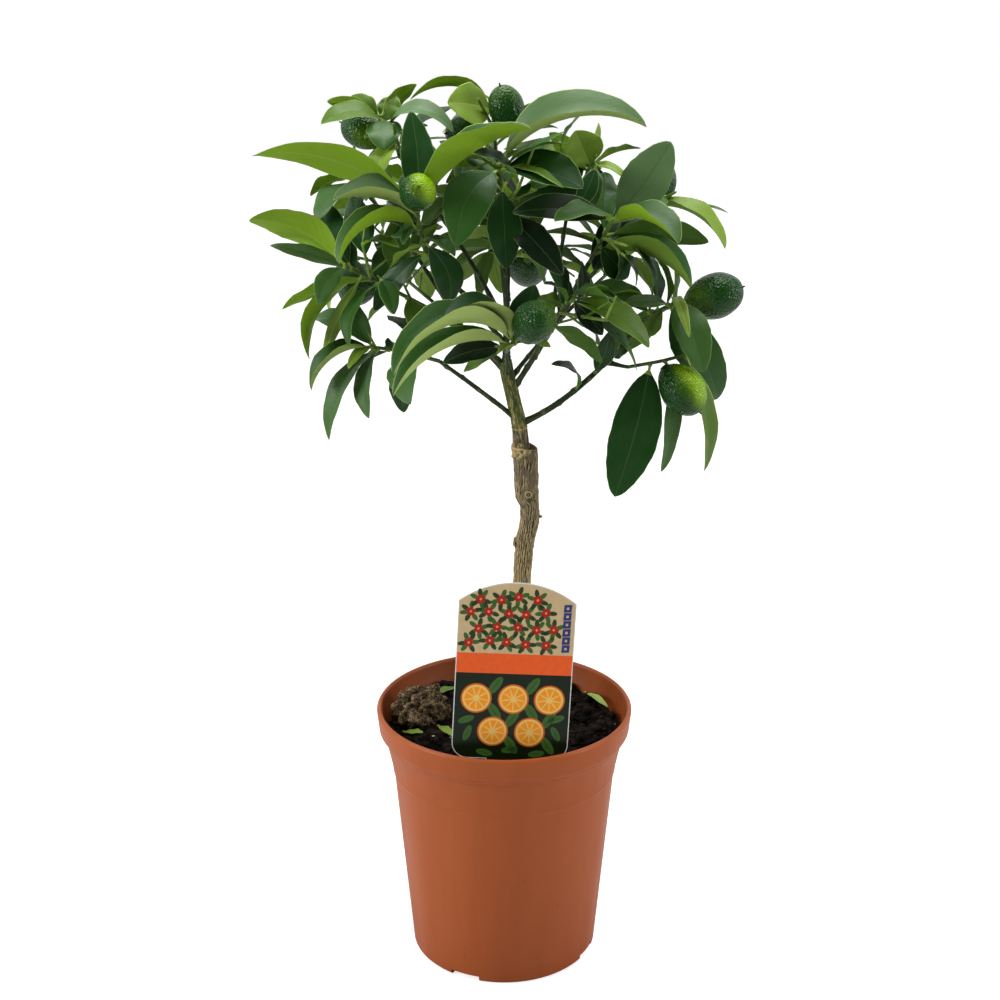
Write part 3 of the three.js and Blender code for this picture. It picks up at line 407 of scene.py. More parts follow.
class LeafSettings(PropertyGroup):
    thickness: length("Thickness", "Of the blade between rib and margin", 0.3)
    margin: length("Margin", "Width of the pale line round a leaf", 0.35)
    rib: length("Rib", "Half the width of the pale midrib at its foot", 0.3)
    wave: length("Waves", "How far a wide leaf's margin ripples", 0.9)
    # Dark and deep are painted shade: darker upper faces for leaves in the heart of the crown, where little light
    # falls. Sheen is a painted sheen: the grey of the bright sky reflected on faces that look up, put into the
    # colour.
    dark: colour("Dark", "Upper face that gets next to no light", 10, 34, 9)
    deep: colour("Deep", "Upper face in the heart of the crown", 24, 67, 16)
    mid: colour("Middle", "Upper face of a plain leaf", 44, 86, 24)
    grey: colour("Grey", "Upper face of an older leaf", 62, 100, 40)
    bloom: colour("Bloom", "Upper face under a pale wax", 90, 120, 74)
    olive: colour("Olive", "Upper face turning to the light", 82, 114, 27)
    bright: colour("Bright", "Upper face of a young leaf", 120, 150, 46)
    fresh: colour("Fresh", "Upper face of a leaf just out", 156, 184, 88)
    # The undersides are paler than the upper faces by nature, and their base colours are raised further as
    # painted light, for the glow of light that shines through the blade.
    under_dark: colour("Shaded underside", "Under a deep leaf", 74, 108, 34)
    under: colour("Underside", "Under a plain leaf", 112, 142, 50)
    under_young: colour("Young underside", "Under a young leaf", 134, 172, 36)
    under_pale: colour("Pale underside", "Under a broad leaf", 162, 185, 100)
    rib_dark: colour("Rib of a dark leaf", "Its midrib", 58, 94, 38)
    rib_pale: colour("Rib of a young leaf", "Its midrib", 150, 178, 84)
    edge_dark: colour("Margin of a dark leaf", "The line round it", 104, 136, 66)
    edge_pale: colour("Margin of a young leaf", "The line round it", 156, 182, 88)
    petiole: colour("Leaf stalk", "Yellow-green stalk of each leaf", 146, 174, 62)
    roughness: share("Roughness", "Of the upper face", 0.42)


class FruitSettings(PropertyGroup):
    green: colour("Green rind", "Unripe fruit", 17, 62, 9)
    blush: colour("Blush", "Where the rind begins to turn", 148, 188, 2)
    pores: length("Pores", "Spacing of the dimples in the rind", 1.1)


class StageSettings(PropertyGroup):
    floor: share("Floor", "How pale the plain floor is", 0.6)
    glow: amount("Floor glow", "Keeps the floor pale in the picture", 0.75, min=0)
    sides: amount("Side lights", "Power of the left panel; the right one has 0.6 of it", 12, unit="POWER")
    top: amount("Top light", "Power of the overhead panel", 13, unit="POWER")
    front: share("Front", "Brightness of the room on the camera's side", 0.12)
    back: amount("Back", "Brightness of the room behind the tree", 0.9)
    lens: amount("Lens", "Focal length", 0.06055, unit="CAMERA", min=0.001)


SETTINGS = {
    "pot": PotSettings, "soil": SoilSettings, "label": LabelSettings, "bark": BarkSettings,
    "leaf": LeafSettings, "fruit": FruitSettings, "stage": StageSettings,
}


def settings(name):
    return getattr(bpy.context.scene, "kumquat_" + name)


# ---- paths

UP = np.array((0.0, 0.0, 1.0))


def vec(values):
    return np.array(values, dtype=float)


def unit(v):
    return v / np.linalg.norm(v)


def mix(a, b, t):
    return a + (b - a) * t


def smoothstep(x, low, high):
    t = min(1.0, max(0.0, (x - low) / (high - low)))
    return t * t * (3 - 2 * t)


def dice(seed):
    """Numbers from 0 to 1 in a fixed order for each seed."""
    state = seed * 7919 + 104729

    def roll():
        nonlocal state
        state = (state * 1664525 + 1013904223) % 4294967296
        return state / 4294967296

    roll()
    return roll


class Curve:
    """A quadratic curve."""

    def __init__(self, start, control, end):
        self.start, self.control, self.end = start, control, end
        self.length = float(np.linalg.norm(end - start))

    def point(self, t):
        return (1 - t) ** 2 * self.start + 2 * t * (1 - t) * self.control + t * t * self.end

    def way(self, t):
        return unit((self.control - self.start) * (1 - t) + (self.end - self.control) * t)


class Route:
    """Straight pieces of equal share from point to point. Its foot may point another way."""

    def __init__(self, *points, foot_way=None):
        self.points, self.last, self.foot_way = points, len(points) - 1, foot_way
        self.length = float(np.linalg.norm(points[-1] - points[0]))

    def piece(self, t):
        return min(self.last - 1, math.floor(t * self.last))

    def point(self, t):
        k = self.piece(t)
        return mix(self.points[k], self.points[k + 1], t * self.last - k)

    def way(self, t):
        if self.foot_way is not None and t <= 0:
            return self.foot_way
        k = self.piece(t)
        return unit(self.points[k + 1] - self.points[k])


class Spline:
    """A centripetal spline through every point of a row."""

    def __init__(self, row):
        self.row = [vec(p) for p in row]

    def point(self, t):
        row = self.row
        last = len(row) - 1
        k = min(last - 1, math.floor(last * t))
        weight = last * t - k
        before = row[k - 1] if k > 0 else 2 * row[0] - row[1]
        after = row[k + 2] if k + 2 <= last else 2 * row[last] - row[last - 1]
        start, end = row[k], row[k + 1]
        d0, d1, d2 = (math.sqrt(np.linalg.norm(b - a)) for a, b in
                      ((before, start), (start, end), (end, after)))
        leave = ((start - before) / d0 - (end - before) / (d0 + d1) + (end - start) / d1) * d1
        arrive = ((end - start) / d1 - (after - start) / (d1 + d2) + (after - end) / d2) * d1
        square = -3 * start + 3 * end - 2 * leave - arrive
        cube = 2 * start - 2 * end + leave + arrive
        return start + leave * weight + square * weight ** 2 + cube * weight ** 3

    def way(self, t):
        if t < 0.01:
            return UP
        return unit(self.point(min(1, t + 1e-4)) - self.point(t - 1e-4))

    def share_at(self, z):
        """The share of a rising path at a height."""
        low, high = 0.0, 1.0
        for _ in range(30):
            middle = (low + high) / 2
            if self.point(middle)[2] < z:
                low = middle
            else:
                high = middle
        return low


def samples_along(path, first, steps):
    return np.array([path.point(mix(first, 1, k / steps)) for k in range(steps + 1)])


def between(rows, z):
    heights, values = zip(*rows)
    return float(np.interp(z, heights, values))


STOCK = Spline(TRUNK["stock"])
SCION = Spline(TRUNK["scion"])


# ---- the growth rule

def rule_half_width(s, width):
    part = np.maximum(0, (s - LEAF["stalk"]) / (1 - LEAF["stalk"]))
    return np.maximum(LEAF["stalk_width"] * (s < 1), width / 2 * np.maximum(0, np.sin(np.pi * part)) ** 0.65)


def cos_sin(degrees):
    angle = math.radians(degrees)
    return math.cos(angle), math.sin(angle)


class Blade:
    """A leaf: its rib is an arc from its root that curls away from the upper face."""

    def __init__(self, root, way, face, length, width, curl, tint=None):
        self.root, self.way, self.face = root, way, face
        self.side = np.cross(way, face)
        self.length, self.width, self.curl, self.tint = length, width, curl, tint
        self.fold, self.bow, self.foot, self.point = None, None, 0.9, 0.66

    def rib(self, s):
        """The rib's points, and the directions that the upper face looks there."""
        turn = math.radians(self.curl)
        along = np.sin(turn * s) / turn
        down = (1 - np.cos(turn * s)) / turn
        middle = self.root + self.length * (np.outer(along, self.way) - np.outer(down, self.face))
        facing = np.outer(np.cos(turn * s), self.face) + np.outer(np.sin(turn * s), self.way)
        return middle, facing

    def samples(self):
        """Points on the blade as the solids have it, and their shares of its length."""
        s = np.repeat(np.arange(1, 13) / 12, 5)
        across = np.tile((-1, -0.5, 0, 0.5, 1), 12)
        middle, facing = self.rib(s)
        half = rule_half_width(s, self.width)
        cos, sin = cos_sin(LEAF["fold"])
        points = middle + np.outer(across * half * cos, self.side)
        return points + facing * (np.abs(across) * half * sin)[:, None], s


class Room:
    """The points that are taken: limbs and fruit as balls, leaves as points on their blades."""

    WIDEST = 24

    def __init__(self):
        self.rows = np.empty((0, 6))

    def take(self, points, owner, radius, shares=1.0):
        row = np.empty((len(points), 6))
        row[:, :3], row[:, 3], row[:, 4], row[:, 5] = points, owner, radius, shares
        self.rows = np.vstack((self.rows, row))

    def is_clear(self, points, owner, shares, rule):
        low, high = points.min(axis=0) - self.WIDEST, points.max(axis=0) + self.WIDEST
        near = self.rows[((self.rows[:, :3] >= low) & (self.rows[:, :3] <= high)).all(axis=1)]
        own = near[:, 3] == owner
        gap = near[:, 4] + np.where(own, rule["clear_of_own"], rule["clear_of_others"])
        apart = ((points[:, None, :] - near[None, :, :3]) ** 2).sum(axis=2)
        loose = own & ((shares[:, None] < RULE["loose_base"]) | (near[:, 5] < RULE["loose_base"]))
        return not ((apart <= gap * gap) & ~loose).any()


def sideways(along, angle):
    """The direction square to a shoot, turned round it by an angle in degrees."""
    across = unit(np.cross(along, UP))
    return lean(across, np.cross(across, along), angle)


def lean(along, out, degrees):
    cos, sin = cos_sin(degrees)
    return along * cos + out * sin


def inside_crown(points, size=1.0):
    scaled = (np.atleast_2d(points) - CROWN["middle"]) / (vec(CROWN["size"]) * size)
    return bool(((scaled ** 2).sum(axis=1) < 1).all())


def named_blade(stem, at, tip, width, curl, looks, tint):
    root = stem.point(at)
    chord = vec(tip) - root
    half_turn = math.radians(curl / 2)
    length = float(np.linalg.norm(chord)) * half_turn / math.sin(half_turn)
    chord = unit(chord)
    face = unit(vec(looks) - chord * (vec(looks) @ chord))
    cos, sin = cos_sin(curl / 2)
    return Blade(root, chord * cos + face * sin, face * cos - chord * sin, length, width, curl, tint)


def looks_by_lean(degrees):
    """The way a face looks that is turned from the sky to the front."""
    cos, sin = cos_sin(degrees)
    return 0, -sin, cos


def dressed_blade(stem, row, dress):
    """A leaf of the tables with what its dress changes."""
    at, tip, width, curl, looks, tint = row
    if "lean" in dress:
        looks = looks_by_lean(dress["lean"])
    form = (dress.get(key, given) for key, given in (("tip", tip), ("width", width), ("curl", curl)))
    blade = named_blade(stem, at, *form, looks, tint)
    blade.fold, blade.bow = dress.get("fold"), dress.get("bow", 0.0)
    blade.foot, blade.point = dress.get("foot", blade.foot), dress.get("point", blade.point)
    return blade


def rule_blade(path, t, spin, attempt, draws):
    along = path.way(t)
    out = sideways(along, spin + RULE["retry_turn"] * attempt * (1 if attempt % 2 else -1))
    way = lean(along, out, mix(*RULE["leaf_tilt"], t) + RULE["tilt_play"] * (draws[0] - 0.5))
    face = along * (0.5 + 0.5 * draws[1]) + UP * 0.9
    face = unit(face - way * (face @ way))
    length = mix(*RULE["leaf_length"], draws[2]) * (1 - RULE["retry_shrink"] * attempt)
    length *= RULE["end_leaf"] if t > 0.97 else 1
    width = length * mix(*RULE["slenderness"], draws[3])
    return Blade(path.point(t), way, face, length, width, mix(*RULE["curl"], draws[4]))


class Mass:
    """One mass of foliage: shoots as (path, radii), blades, fruit, and the finer growth on it."""

    def __init__(self, name, number, row):
        self.name, self.number = name, number
        tip, self.seed, self.twigs, self.floor, self.spacing, self.fruit_rows, self.leaf_rows = row
        self.tip = vec(tip)
        self.shoots, self.blades, self.fruit = [], [], []
        self.fine_shoots, self.fine_blades = [], []

    def grow_shoots(self, bough, room):
        path, radii = bough
        way = path.way(1)
        start = path.point(1) + way * RULE["bough_gap"]
        elbow = mix(start, self.tip, 0.5) + way * RULE["elbow"] * np.linalg.norm(self.tip - start)
        stem = Route(start, elbow, self.tip, foot_way=way)
        self.shoots = [(stem, (radii[1], RULE["stem_tip"]))]
        roll = dice(self.seed)
        for k in range(self.twigs):
            part = RULE["twigs_from"] + 0.5 * (k + roll() * 0.6) / max(1, self.twigs - 1)
            t = min(part, RULE["twigs_to"])
            at = stem.point(t)
            along = stem.way(t)
            out = sideways(along, RULE["golden"] * k + 360 * roll())
            lead = lean(along, out, RULE["twig_tilt"] * (0.8 + 0.4 * roll()))
            reach = RULE["twig_length"] * (0.75 + 0.5 * roll())
            end = at + lead * reach + UP * RULE["twig_rise"] * reach
            twig = Route(at, end)
            points = samples_along(twig, 0.4, 4)
            if inside_crown(end) and room.is_clear(points, self.number, np.ones(5), RULE):
                self.shoots.append((twig, RULE["twig_radius"]))

    def place_named(self):
        stem = self.shoots[0][0]
        for middle, points, size, width in self.fruit_rows:
            way = unit(vec(points))
            top = vec(middle) - way * size * 0.45
            near = min(samples_along(stem, 0.4, 12), key=lambda p: np.linalg.norm(p - top))
            stalk = Curve(near, (near + top) / 2 - way, vec(middle))
            self.fruit.append((vec(middle), way, size, width, stalk))
        self.blades = [named_blade(stem, *row) for row in self.leaf_rows]

    def dress_named(self):
        """Gives the leaves of the tables their dressed form, once all leaves have found their room."""
        stem, dress = self.shoots[0][0], DRESS.get(self.name, {})
        for number, row in enumerate(self.leaf_rows):
            self.blades[number] = dressed_blade(stem, row, dress.get(number, {}))
        for path, more in ((LIMBS[self.name][0], MORE_ON_BOUGHS), (stem, MORE_ON_STEMS)):
            for at, tip, width, curl, degrees, tint in more.get(self.name, ()):
                self.blades.append(named_blade(path, at, tip, width, curl, looks_by_lean(degrees), tint))

    def grow_leaves(self, room):
        roll = dice(self.seed + SEEDS["grown"])
        for k, (path, _) in enumerate(self.shoots):
            first = RULE["leaves_from"][min(k, 1)]
            count = max(3, math.floor(path.length / self.spacing + 0.5))
            spin = 360 * roll()
            for j in range(count):
                t = mix(first, 1, j / (count - 1))
                draws = [roll() for _ in range(6)]
                for attempt in range(RULE["tries"]):
                    blade = rule_blade(path, t, spin + RULE["golden"] * j, attempt, draws)
                    if self.fits(blade, room, self.floor, 1.0, RULE):
                        self.blades.append(blade)
                        break

    def fits(self, blade, room, floor, crown, rule):
        """Takes the blade's room, if it reaches no further than its mass may and is clear of the rest."""
        points, shares = blade.samples()
        near = np.linalg.norm(points - self.tip, axis=1).max() < RULE["reach"]
        if not (near and points[:, 2].min() > floor and inside_crown(points, crown)):
            return False
        if not room.is_clear(points, self.number, shares, rule):
            return False
        room.take(points, self.number, 0, shares)
        return True

    def grow_fine(self, room):
        """Side shoots by the same spiral, each with a few small leaves."""
        roll = dice(self.seed + SEEDS["fine"])
        for path, _ in self.shoots:
            count = max(2, round(path.length / FINE["every"]))
            for k in range(count):
                t = mix(FINE["from"], FINE["to"], k / (count - 1))
                along = path.way(t)
                out = sideways(along, RULE["golden"] * (k + 0.5) + 360 * roll())
                lead = lean(along, out, RULE["twig_tilt"] * (0.9 + 0.3 * roll()))
                reach = mix(*FINE["length"], roll())
                start = path.point(t)
                side_shoot = Route(start, start + lead * reach + UP * RULE["twig_rise"] * reach)
                grown = [b for j in range(FINE["leaves"]) if (b := self.small_leaf(side_shoot, j, roll, room))]
                if grown:
                    self.fine_shoots.append((side_shoot, FINE["radius"]))
                    self.fine_blades.extend(grown)

    def small_leaf(self, path, number, roll, room):
        draws = [roll() for _ in range(6)]
        floor = self.floor + FINE["above_floor"]
        t = mix(FINE["leaves_from"], 1, number / (FINE["leaves"] - 1))
        for attempt in range(FINE["tries"]):
            blade = rule_blade(path, t, RULE["golden"] * number + 360 * draws[5], attempt, draws)
            blade.length = mix(*FINE["leaf_length"], draws[2]) * (1 - FINE["retry_shrink"] * attempt)
            blade.width = blade.length * mix(*FINE["slenderness"], draws[3])
            if self.fits(blade, room, floor, FINE["crown"], FINE):
                return blade
        return None


def grow_limbs():
    """Each bough's path and radii, by name."""
    limbs = {}
    for name, parent, at, tip, lift, radii in BOUGHS:
        start = SCION.point(SCION.share_at(at)) if parent == "trunk" else limbs[parent][0].point(at)
        control = (start + vec(tip)) / 2 + UP * lift
        limbs[name] = (Curve(start, control, vec(tip)), radii)
    return limbs


def grow_crown(limbs):
    """All masses with their shoots, leaves and fruit."""
    room = Room()
    room.take(samples_along(SCION, 0, 12), -1, 5)
    for number, (path, radii) in enumerate(limbs.values()):
        room.take(samples_along(path, 0, 24), 100 + number, radii[0])
    masses = [Mass(name, number, row) for number, (name, row) in enumerate(MASSES.items())]
    for mass in masses:
        mass.grow_shoots(limbs[mass.name], room)
        for path, _ in mass.shoots:
            room.take(samples_along(path, 0.15, 8), mass.number, 1)
    for mass in masses:
        mass.place_named()
        for middle, way, size, width, _ in mass.fruit:
            ends = np.array([middle + way * k * (size - width) for k in (-0.5, 0, 0.5)])
            room.take(ends, mass.number, width / 2)
        for blade in mass.blades:
            points, shares = blade.samples()
            room.take(points, mass.number, 0, shares)
    for mass in masses:
        mass.grow_leaves(room)
    for mass in masses:
        mass.dress_named()
        mass.grow_fine(room)
        first = len(mass.leaf_rows)
        mass.blades = [b for k, b in enumerate(mass.blades) if k - first not in SHED.get(mass.name, ())]
        mass.fine_blades = [b for k, b in enumerate(mass.fine_blades) if k not in SHED_FINE.get(mass.name, ())]
    return masses


LIMBS = grow_limbs()
GROWN = grow_crown(LIMBS)
FOLIAGE_NODES = ["foliage_" + name for name in MASSES]
BOUGH_NODES = ["bough_" + name for name in LIMBS]


# ---- mesh helpers

def put_in_scene(name, data):
    made = bpy.data.objects.new(name, data)
    bpy.context.scene.collection.objects.link(made)
    return made


def add_piece(name, mesh, materials, replaces=()):
    """A finished piece that rides on the tree's one body, from its mesh, its bmesh or its heap."""
    if isinstance(mesh, bmesh.types.BMesh):
        mesh = mesh_of(mesh, name)
    elif isinstance(mesh, Heap):
        mesh = mesh.mesh(name)
    piece = put_in_scene(name, mesh)
    for material in materials:
        mesh.materials.append(material)
    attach(piece, "root")
    if replaces:
        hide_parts(*replaces)
    return piece


def plain_mesh(bm, name):
    """The bmesh's metres as a mesh, with its faces as they are."""
    mesh = bpy.data.meshes.new(name)
    bm.to_mesh(mesh)
    bm.free()
    return mesh


def mesh_of(bm, name, smooth=True):
    """A finished piece's mesh, with its faces turned out."""
    bmesh.ops.recalc_face_normals(bm, faces=bm.faces)
    mesh = plain_mesh(bm, name)
    if smooth:
        mesh.shade_smooth()
    return mesh


def paint_faces(verts, slot):
    """Gives the faces that meet at some vertices their material."""
    for face in {f for v in verts for f in v.link_faces}:
        face.material_index = slot


def turned_form(profile, steps):
    """A form turned on the pot's axis from an outline of (radius, height) in millimetres."""
    bm = bmesh.new()
    corners = [bm.verts.new((r * MM, 0, z * MM)) for r, z in profile]
    wires = [bm.edges.new(pair) for pair in zip(corners, corners[1:])]
    bmesh.ops.spin(
        bm, geom=corners + wires, cent=(0, 0, 0), axis=(0, 0, 1), angle=2 * math.pi, steps=steps, use_merge=True
    )
    bmesh.ops.remove_doubles(bm, verts=bm.verts, dist=WELD)
    return bm


def turned(degrees, axis):
    return Matrix.Rotation(math.radians(degrees), 4, axis)


def add_ball(bm, subdivisions):
    """The vertices of a ball of radius 1, which the caller shapes."""
    return bmesh.ops.create_icosphere(bm, subdivisions=subdivisions, radius=1)["verts"]


def add_drum(bm, place, sides, foot, top, depth):
    """The vertices of a closed drum, with its radii and its depth in millimetres."""
    return bmesh.ops.create_cone(
        bm, cap_ends=True, segments=sides, radius1=foot * MM, radius2=top * MM, depth=depth * MM, matrix=place
    )["verts"]


def stretched(point, sizes):
    return Vector((a * b for a, b in zip(point, sizes)))


def round_point(middle, radius, degrees):
    cos, sin = cos_sin(degrees)
    return middle[0] + radius * cos, middle[1] + radius * sin


def close_holes(bm):
    open_edges = [e for e in bm.edges if e.is_boundary]
    return bmesh.ops.holes_fill(bm, edges=open_edges, sides=0)["faces"] if open_edges else []


def frames_along(path, steps):
    """Middle and two square directions at each step of a path."""
    side = vec((1, 0, 0))
    rows = []
    for k in range(steps + 1):
        way = path.way(k / steps)
        if k == 0 and abs(way[0]) > 0.9:
            side = vec((0, 1, 0))
        side = unit(side - way * (side @ way))
        rows.append((path.point(k / steps), side, np.cross(way, side)))
    return rows


def wrap_limb(bm, path, radius, sides, steps, relief, tone_layer):
    """A grid rolled up round a path. Relief gives each vertex its height in millimetres and its tone."""
    rows = frames_along(path, steps)
    grid = bmesh.ops.create_grid(bm, x_segments=sides, y_segments=steps, size=0.5)["verts"]
    for vert in grid:
        t = vert.co.y + 0.5
        angle = 2 * math.pi * (vert.co.x + 0.5)
        middle, side, other = rows[min(steps, round(t * steps))]
        height, tone = relief(t, angle, middle)
        out = side * math.cos(angle) + other * math.sin(angle)
        vert.co = Vector((middle + out * (radius(t) + height)) * MM)
        vert[tone_layer] = tone
    bmesh.ops.remove_doubles(bm, verts=grid, dist=WELD / 10)


def on_skin(angle, size, height, shift=0.0):
    """A place in a noise that joins up round a limb."""
    return Vector((math.cos(angle) * size + shift, math.sin(angle) * size, height))


def lines_of_noise(angle, height, round_scale, rise, width, seed=0.0):
    """1 on wandering lines that run along a limb, and 0 between them."""
    return max(0.0, 1 - abs(noise.noise(on_skin(angle, round_scale, height * rise, seed))) / width)


def crack_lines(angle, height, count, seed):
    """Dark cracks that waver up a limb in dashes, and the tan ridges between them."""
    ring = on_skin(angle, 2, height * 0.2, seed)
    wave = math.sin(angle * count + 4.5 * noise.noise(ring) + 1.6 * noise.noise(ring * 3.3))
    dashes = noise.noise(Vector((ring.x * 3.5, ring.y * 3.5, height * 0.3 + seed)))
    crack = 1.4 * max(0.0, wave - 0.5) * smoothstep(dashes, -0.35, 0.1)
    return crack, max(0.0, -wave - 0.2) * smoothstep(-dashes, -0.4, 0.1)


class Heap:
    """Many small forms, joined into one mesh from arrays."""

    def __init__(self):
        self.points, self.faces, self.slots, self.uvs = [], [], [], []
        self.count = 0

    def add(self, points, faces, slots, uv=None):
        self.points.append(points)
        self.faces.extend([[i + self.count for i in face] for face in faces])
        self.slots.extend(slots)
        if uv is not None:
            self.uvs.append(uv)
        self.count += len(points)

    def mesh(self, name):
        mesh = bpy.data.meshes.new(name)
        mesh.from_pydata((np.vstack(self.points) * MM).tolist(), [], self.faces)
        mesh.polygons.foreach_set("material_index", self.slots)
        if self.uvs:
            corners = np.empty(len(mesh.loops), dtype=np.int32)
            mesh.loops.foreach_get("vertex_index", corners)
            layer = mesh.uv_layers.new(name="blade")
            layer.uv.foreach_set("vector", np.vstack(self.uvs)[corners].ravel())
        mesh.shade_smooth()
        mesh.update()
        return mesh


def tube(heap, path, radius, sides, steps, slot):
    """A thin shoot with closed ends."""
    rows = frames_along(path, steps)
    angles = np.arange(sides) * 2 * np.pi / sides
    points = [
        middle + radius(k / steps) * (side * math.cos(a) + other * math.sin(a))
        for k, (middle, side, other) in enumerate(rows) for a in angles
    ]
    faces = [
        (k * sides + j, k * sides + (j + 1) % sides, (k + 1) * sides + (j + 1) % sides, (k + 1) * sides + j)
        for k in range(steps) for j in range(sides)
    ]
    faces.append(tuple(range(sides))[::-1])
    faces.append(tuple(steps * sides + j for j in range(sides)))
    heap.add(np.array(points), faces, [slot] * len(faces))


def ball_form(subdivisions):
    """Points and faces of a ball of radius 1."""
    bm = bmesh.new()
    points = np.array([v.co[:] for v in add_ball(bm, subdivisions)])
    faces = [[v.index for v in f.verts] for f in bm.faces]
    bm.free()
    return points, faces


# ---- shader helpers

STRAIGHT = (1.0, 1.0, 1.0)


def fill(tree, socket, value):
    """Links an effect to a socket, or sets a constant on it."""
    if isinstance(value, bpy.types.NodeSocket):
        tree.links.new(value, socket)
    else:
        socket.default_value = (*value[:3], 1) if socket.type == "RGBA" else value


def shader_node(tree, kind, inputs=None, **options):
    """A node with its options set and its inputs filled or linked."""
    made = tree.nodes.new("ShaderNode" + kind)
    for name, value in options.items():
        setattr(made, name, value)
    for key, value in (inputs or {}).items():
        fill(tree, made.inputs[key], value)
    return made


def ramp(tree, factor, *stops):
    """A colour ramp with stops of (place, colour)."""
    made = shader_node(tree, "ValToRGB", {"Fac": factor})
    elements = made.color_ramp.elements
    while len(elements) < len(stops):
        elements.new(0.5)
    for element, (place, tint) in zip(elements, stops):
        element.position = place
        element.color = (*tint[:3], 1)
    return made.outputs["Color"]


def blend_colour(tree, factor, first, second):
    return shader_node(tree, "Mix", {0: factor, 6: first, 7: second}, data_type="RGBA").outputs[2]


def maths(tree, operation, first, second=0.0, third=0.0):
    return shader_node(tree, "Math", {0: first, 1: second, 2: third}, operation=operation).outputs[0]


def bumped(tree, height, strength, distance, **under):
    inputs = {"Height": height, "Strength": strength, "Distance": distance, **under}
    return shader_node(tree, "Bump", inputs).outputs["Normal"]


def object_place(tree):
    return shader_node(tree, "TexCoord").outputs["Object"]


def object_noise(tree, given, **detail):
    """Noise that keeps to the object, at a group's scale and stretch."""
    stretch = shader_node(tree, "VectorMath", {0: object_place(tree), 1: given["Stretch"]}, operation="MULTIPLY")
    inputs = {"Vector": stretch.outputs[0], "Scale": given["Scale"], **detail}
    return shader_node(tree, "TexNoise", inputs).outputs["Fac"]


def group(name, inputs, output, build):
    """A shared effect with one output. Its inputs are numbers or vectors, given by name with their defaults."""
    tree = bpy.data.node_groups.get(name)
    if tree:
        return tree
    tree = bpy.data.node_groups.new(name, "ShaderNodeTree")
    for label, default in inputs.items():
        kind = "NodeSocketFloat" if isinstance(default, float) else "NodeSocketVector"
        tree.interface.new_socket(name=label, in_out="INPUT", socket_type=kind).default_value = default
    kind = "NodeSocketVector" if output == "Normal" else "NodeSocketFloat"
    tree.interface.new_socket(name=output, in_out="OUTPUT", socket_type=kind)
    made = build(tree, tree.nodes.new("NodeGroupInput").outputs)
    tree.links.new(made, tree.nodes.new("NodeGroupOutput").inputs[output])
    return tree


def use_group(tree, shared, **inputs):
    filled = {name.capitalize(): value for name, value in inputs.items()}
    return shader_node(tree, "Group", filled, node_tree=shared).outputs[0]


def mottle():
    """Soft patches, for a colour that isn't even."""
    return group(
        "Mottle", {"Scale": 100.0, "Stretch": STRAIGHT}, "Mask",
        lambda tree, given: object_noise(tree, given, Detail=4.0, Roughness=0.6),
    )


def patches(tree, scale, stretch=STRAIGHT):
    return use_group(tree, mottle(), scale=scale, stretch=stretch)


def specks():
    """Small separate dots."""

    def build(tree, given):
        cells = shader_node(tree, "TexVoronoi", {"Vector": object_place(tree), "Scale": given["Scale"]}).outputs
        chosen = shader_node(tree, "SeparateColor", {"Color": cells["Color"]}).outputs[0]
        near = maths(tree, "LESS_THAN", cells["Distance"], given["Size"])
        return maths(tree, "MULTIPLY", near, maths(tree, "LESS_THAN", chosen, given["Share"]))

    return group("Specks", {"Scale": 200.0, "Size": 0.2, "Share": 0.1}, "Mask", build)


def grain_bump():
    """A fine even grain, as a normal."""

    def build(tree, given):
        return bumped(tree, object_noise(tree, given, Detail=3.0), given["Strength"], given["Depth"])

    inputs = {"Scale": 900.0, "Stretch": STRAIGHT, "Strength": 0.3, "Depth": 0.0002}
    return group("Grain Bump", inputs, "Normal", build)


def grain(tree, scale, strength, depth, stretch=STRAIGHT):
    return use_group(tree, grain_bump(), scale=scale, stretch=stretch, strength=strength, depth=depth)


def new_material(name, **constants):
    """A material and its tree, with plain numbers and colours set on its own shader."""
    material = bpy.data.materials.new(name)
    material.use_nodes = True
    return finish(material, **constants), material.node_tree


def finish(material, **sockets):
    """Sets constants on a material's own shader, or links effects to it."""
    tree = material.node_tree
    for key, value in sockets.items():
        name = key.replace("_", " ").title().replace("Ior", "IOR")
        fill(tree, tree.nodes["Principled BSDF"].inputs[name], value)
    return material


def spread(tree, mask, low, high):
    """A mask laid out between two values."""
    return shader_node(tree, "MapRange", {
        "Value": mask, "From Min": 0.3, "From Max": 0.7, "To Min": low, "To Max": high,
    }).outputs["Result"]


def uneven(tree, scale, part, first, second):
    """A colour with soft patches of another."""
    return blend_colour(tree, spread(tree, patches(tree, scale), 0.0, part), first, second)


# ---- pot

POT_NOTCHES = {"count": 4, "width": 18, "height": 3.8, "depth": 16, "turn": -115}
POT_DRAINS = {"count": 5, "radius": 4, "circle": 32}


def pot_profile():
    """The wall's outline from the middle of the underside, up the outside and down the inside."""
    s = settings("pot")
    height, rim, base, wall = (v / MM for v in (s.height, s.rim, s.base, s.wall))
    band = height - 13.6
    return [
        (0, 0), (21, 0), (22, 2.4), (42, 2.4), (43, 0), (base - 1.6, 0), (base, 1.6),
        (65.0, 113.6), (65.2, 115), (65.9, 116.2), (65.7, 117.4),
        (69.7, 136.4), (70.2, 137.4), (71.4, 138.2), (71.3, 139.2), (rim - 1.6, band + 0.3),
        (rim - 0.3, height - 1.4), (rim - 1.2, height), (rim - 2.6, height), (rim - 3.4, height - 1.2),
        (rim - 1.4 - wall - 1.6, band), (70.6 - wall, band - 2.8), (65.8 - wall, 116),
        (base - wall, 6.5), (base - wall - 2, 4.5), (0, 4.5),
    ]


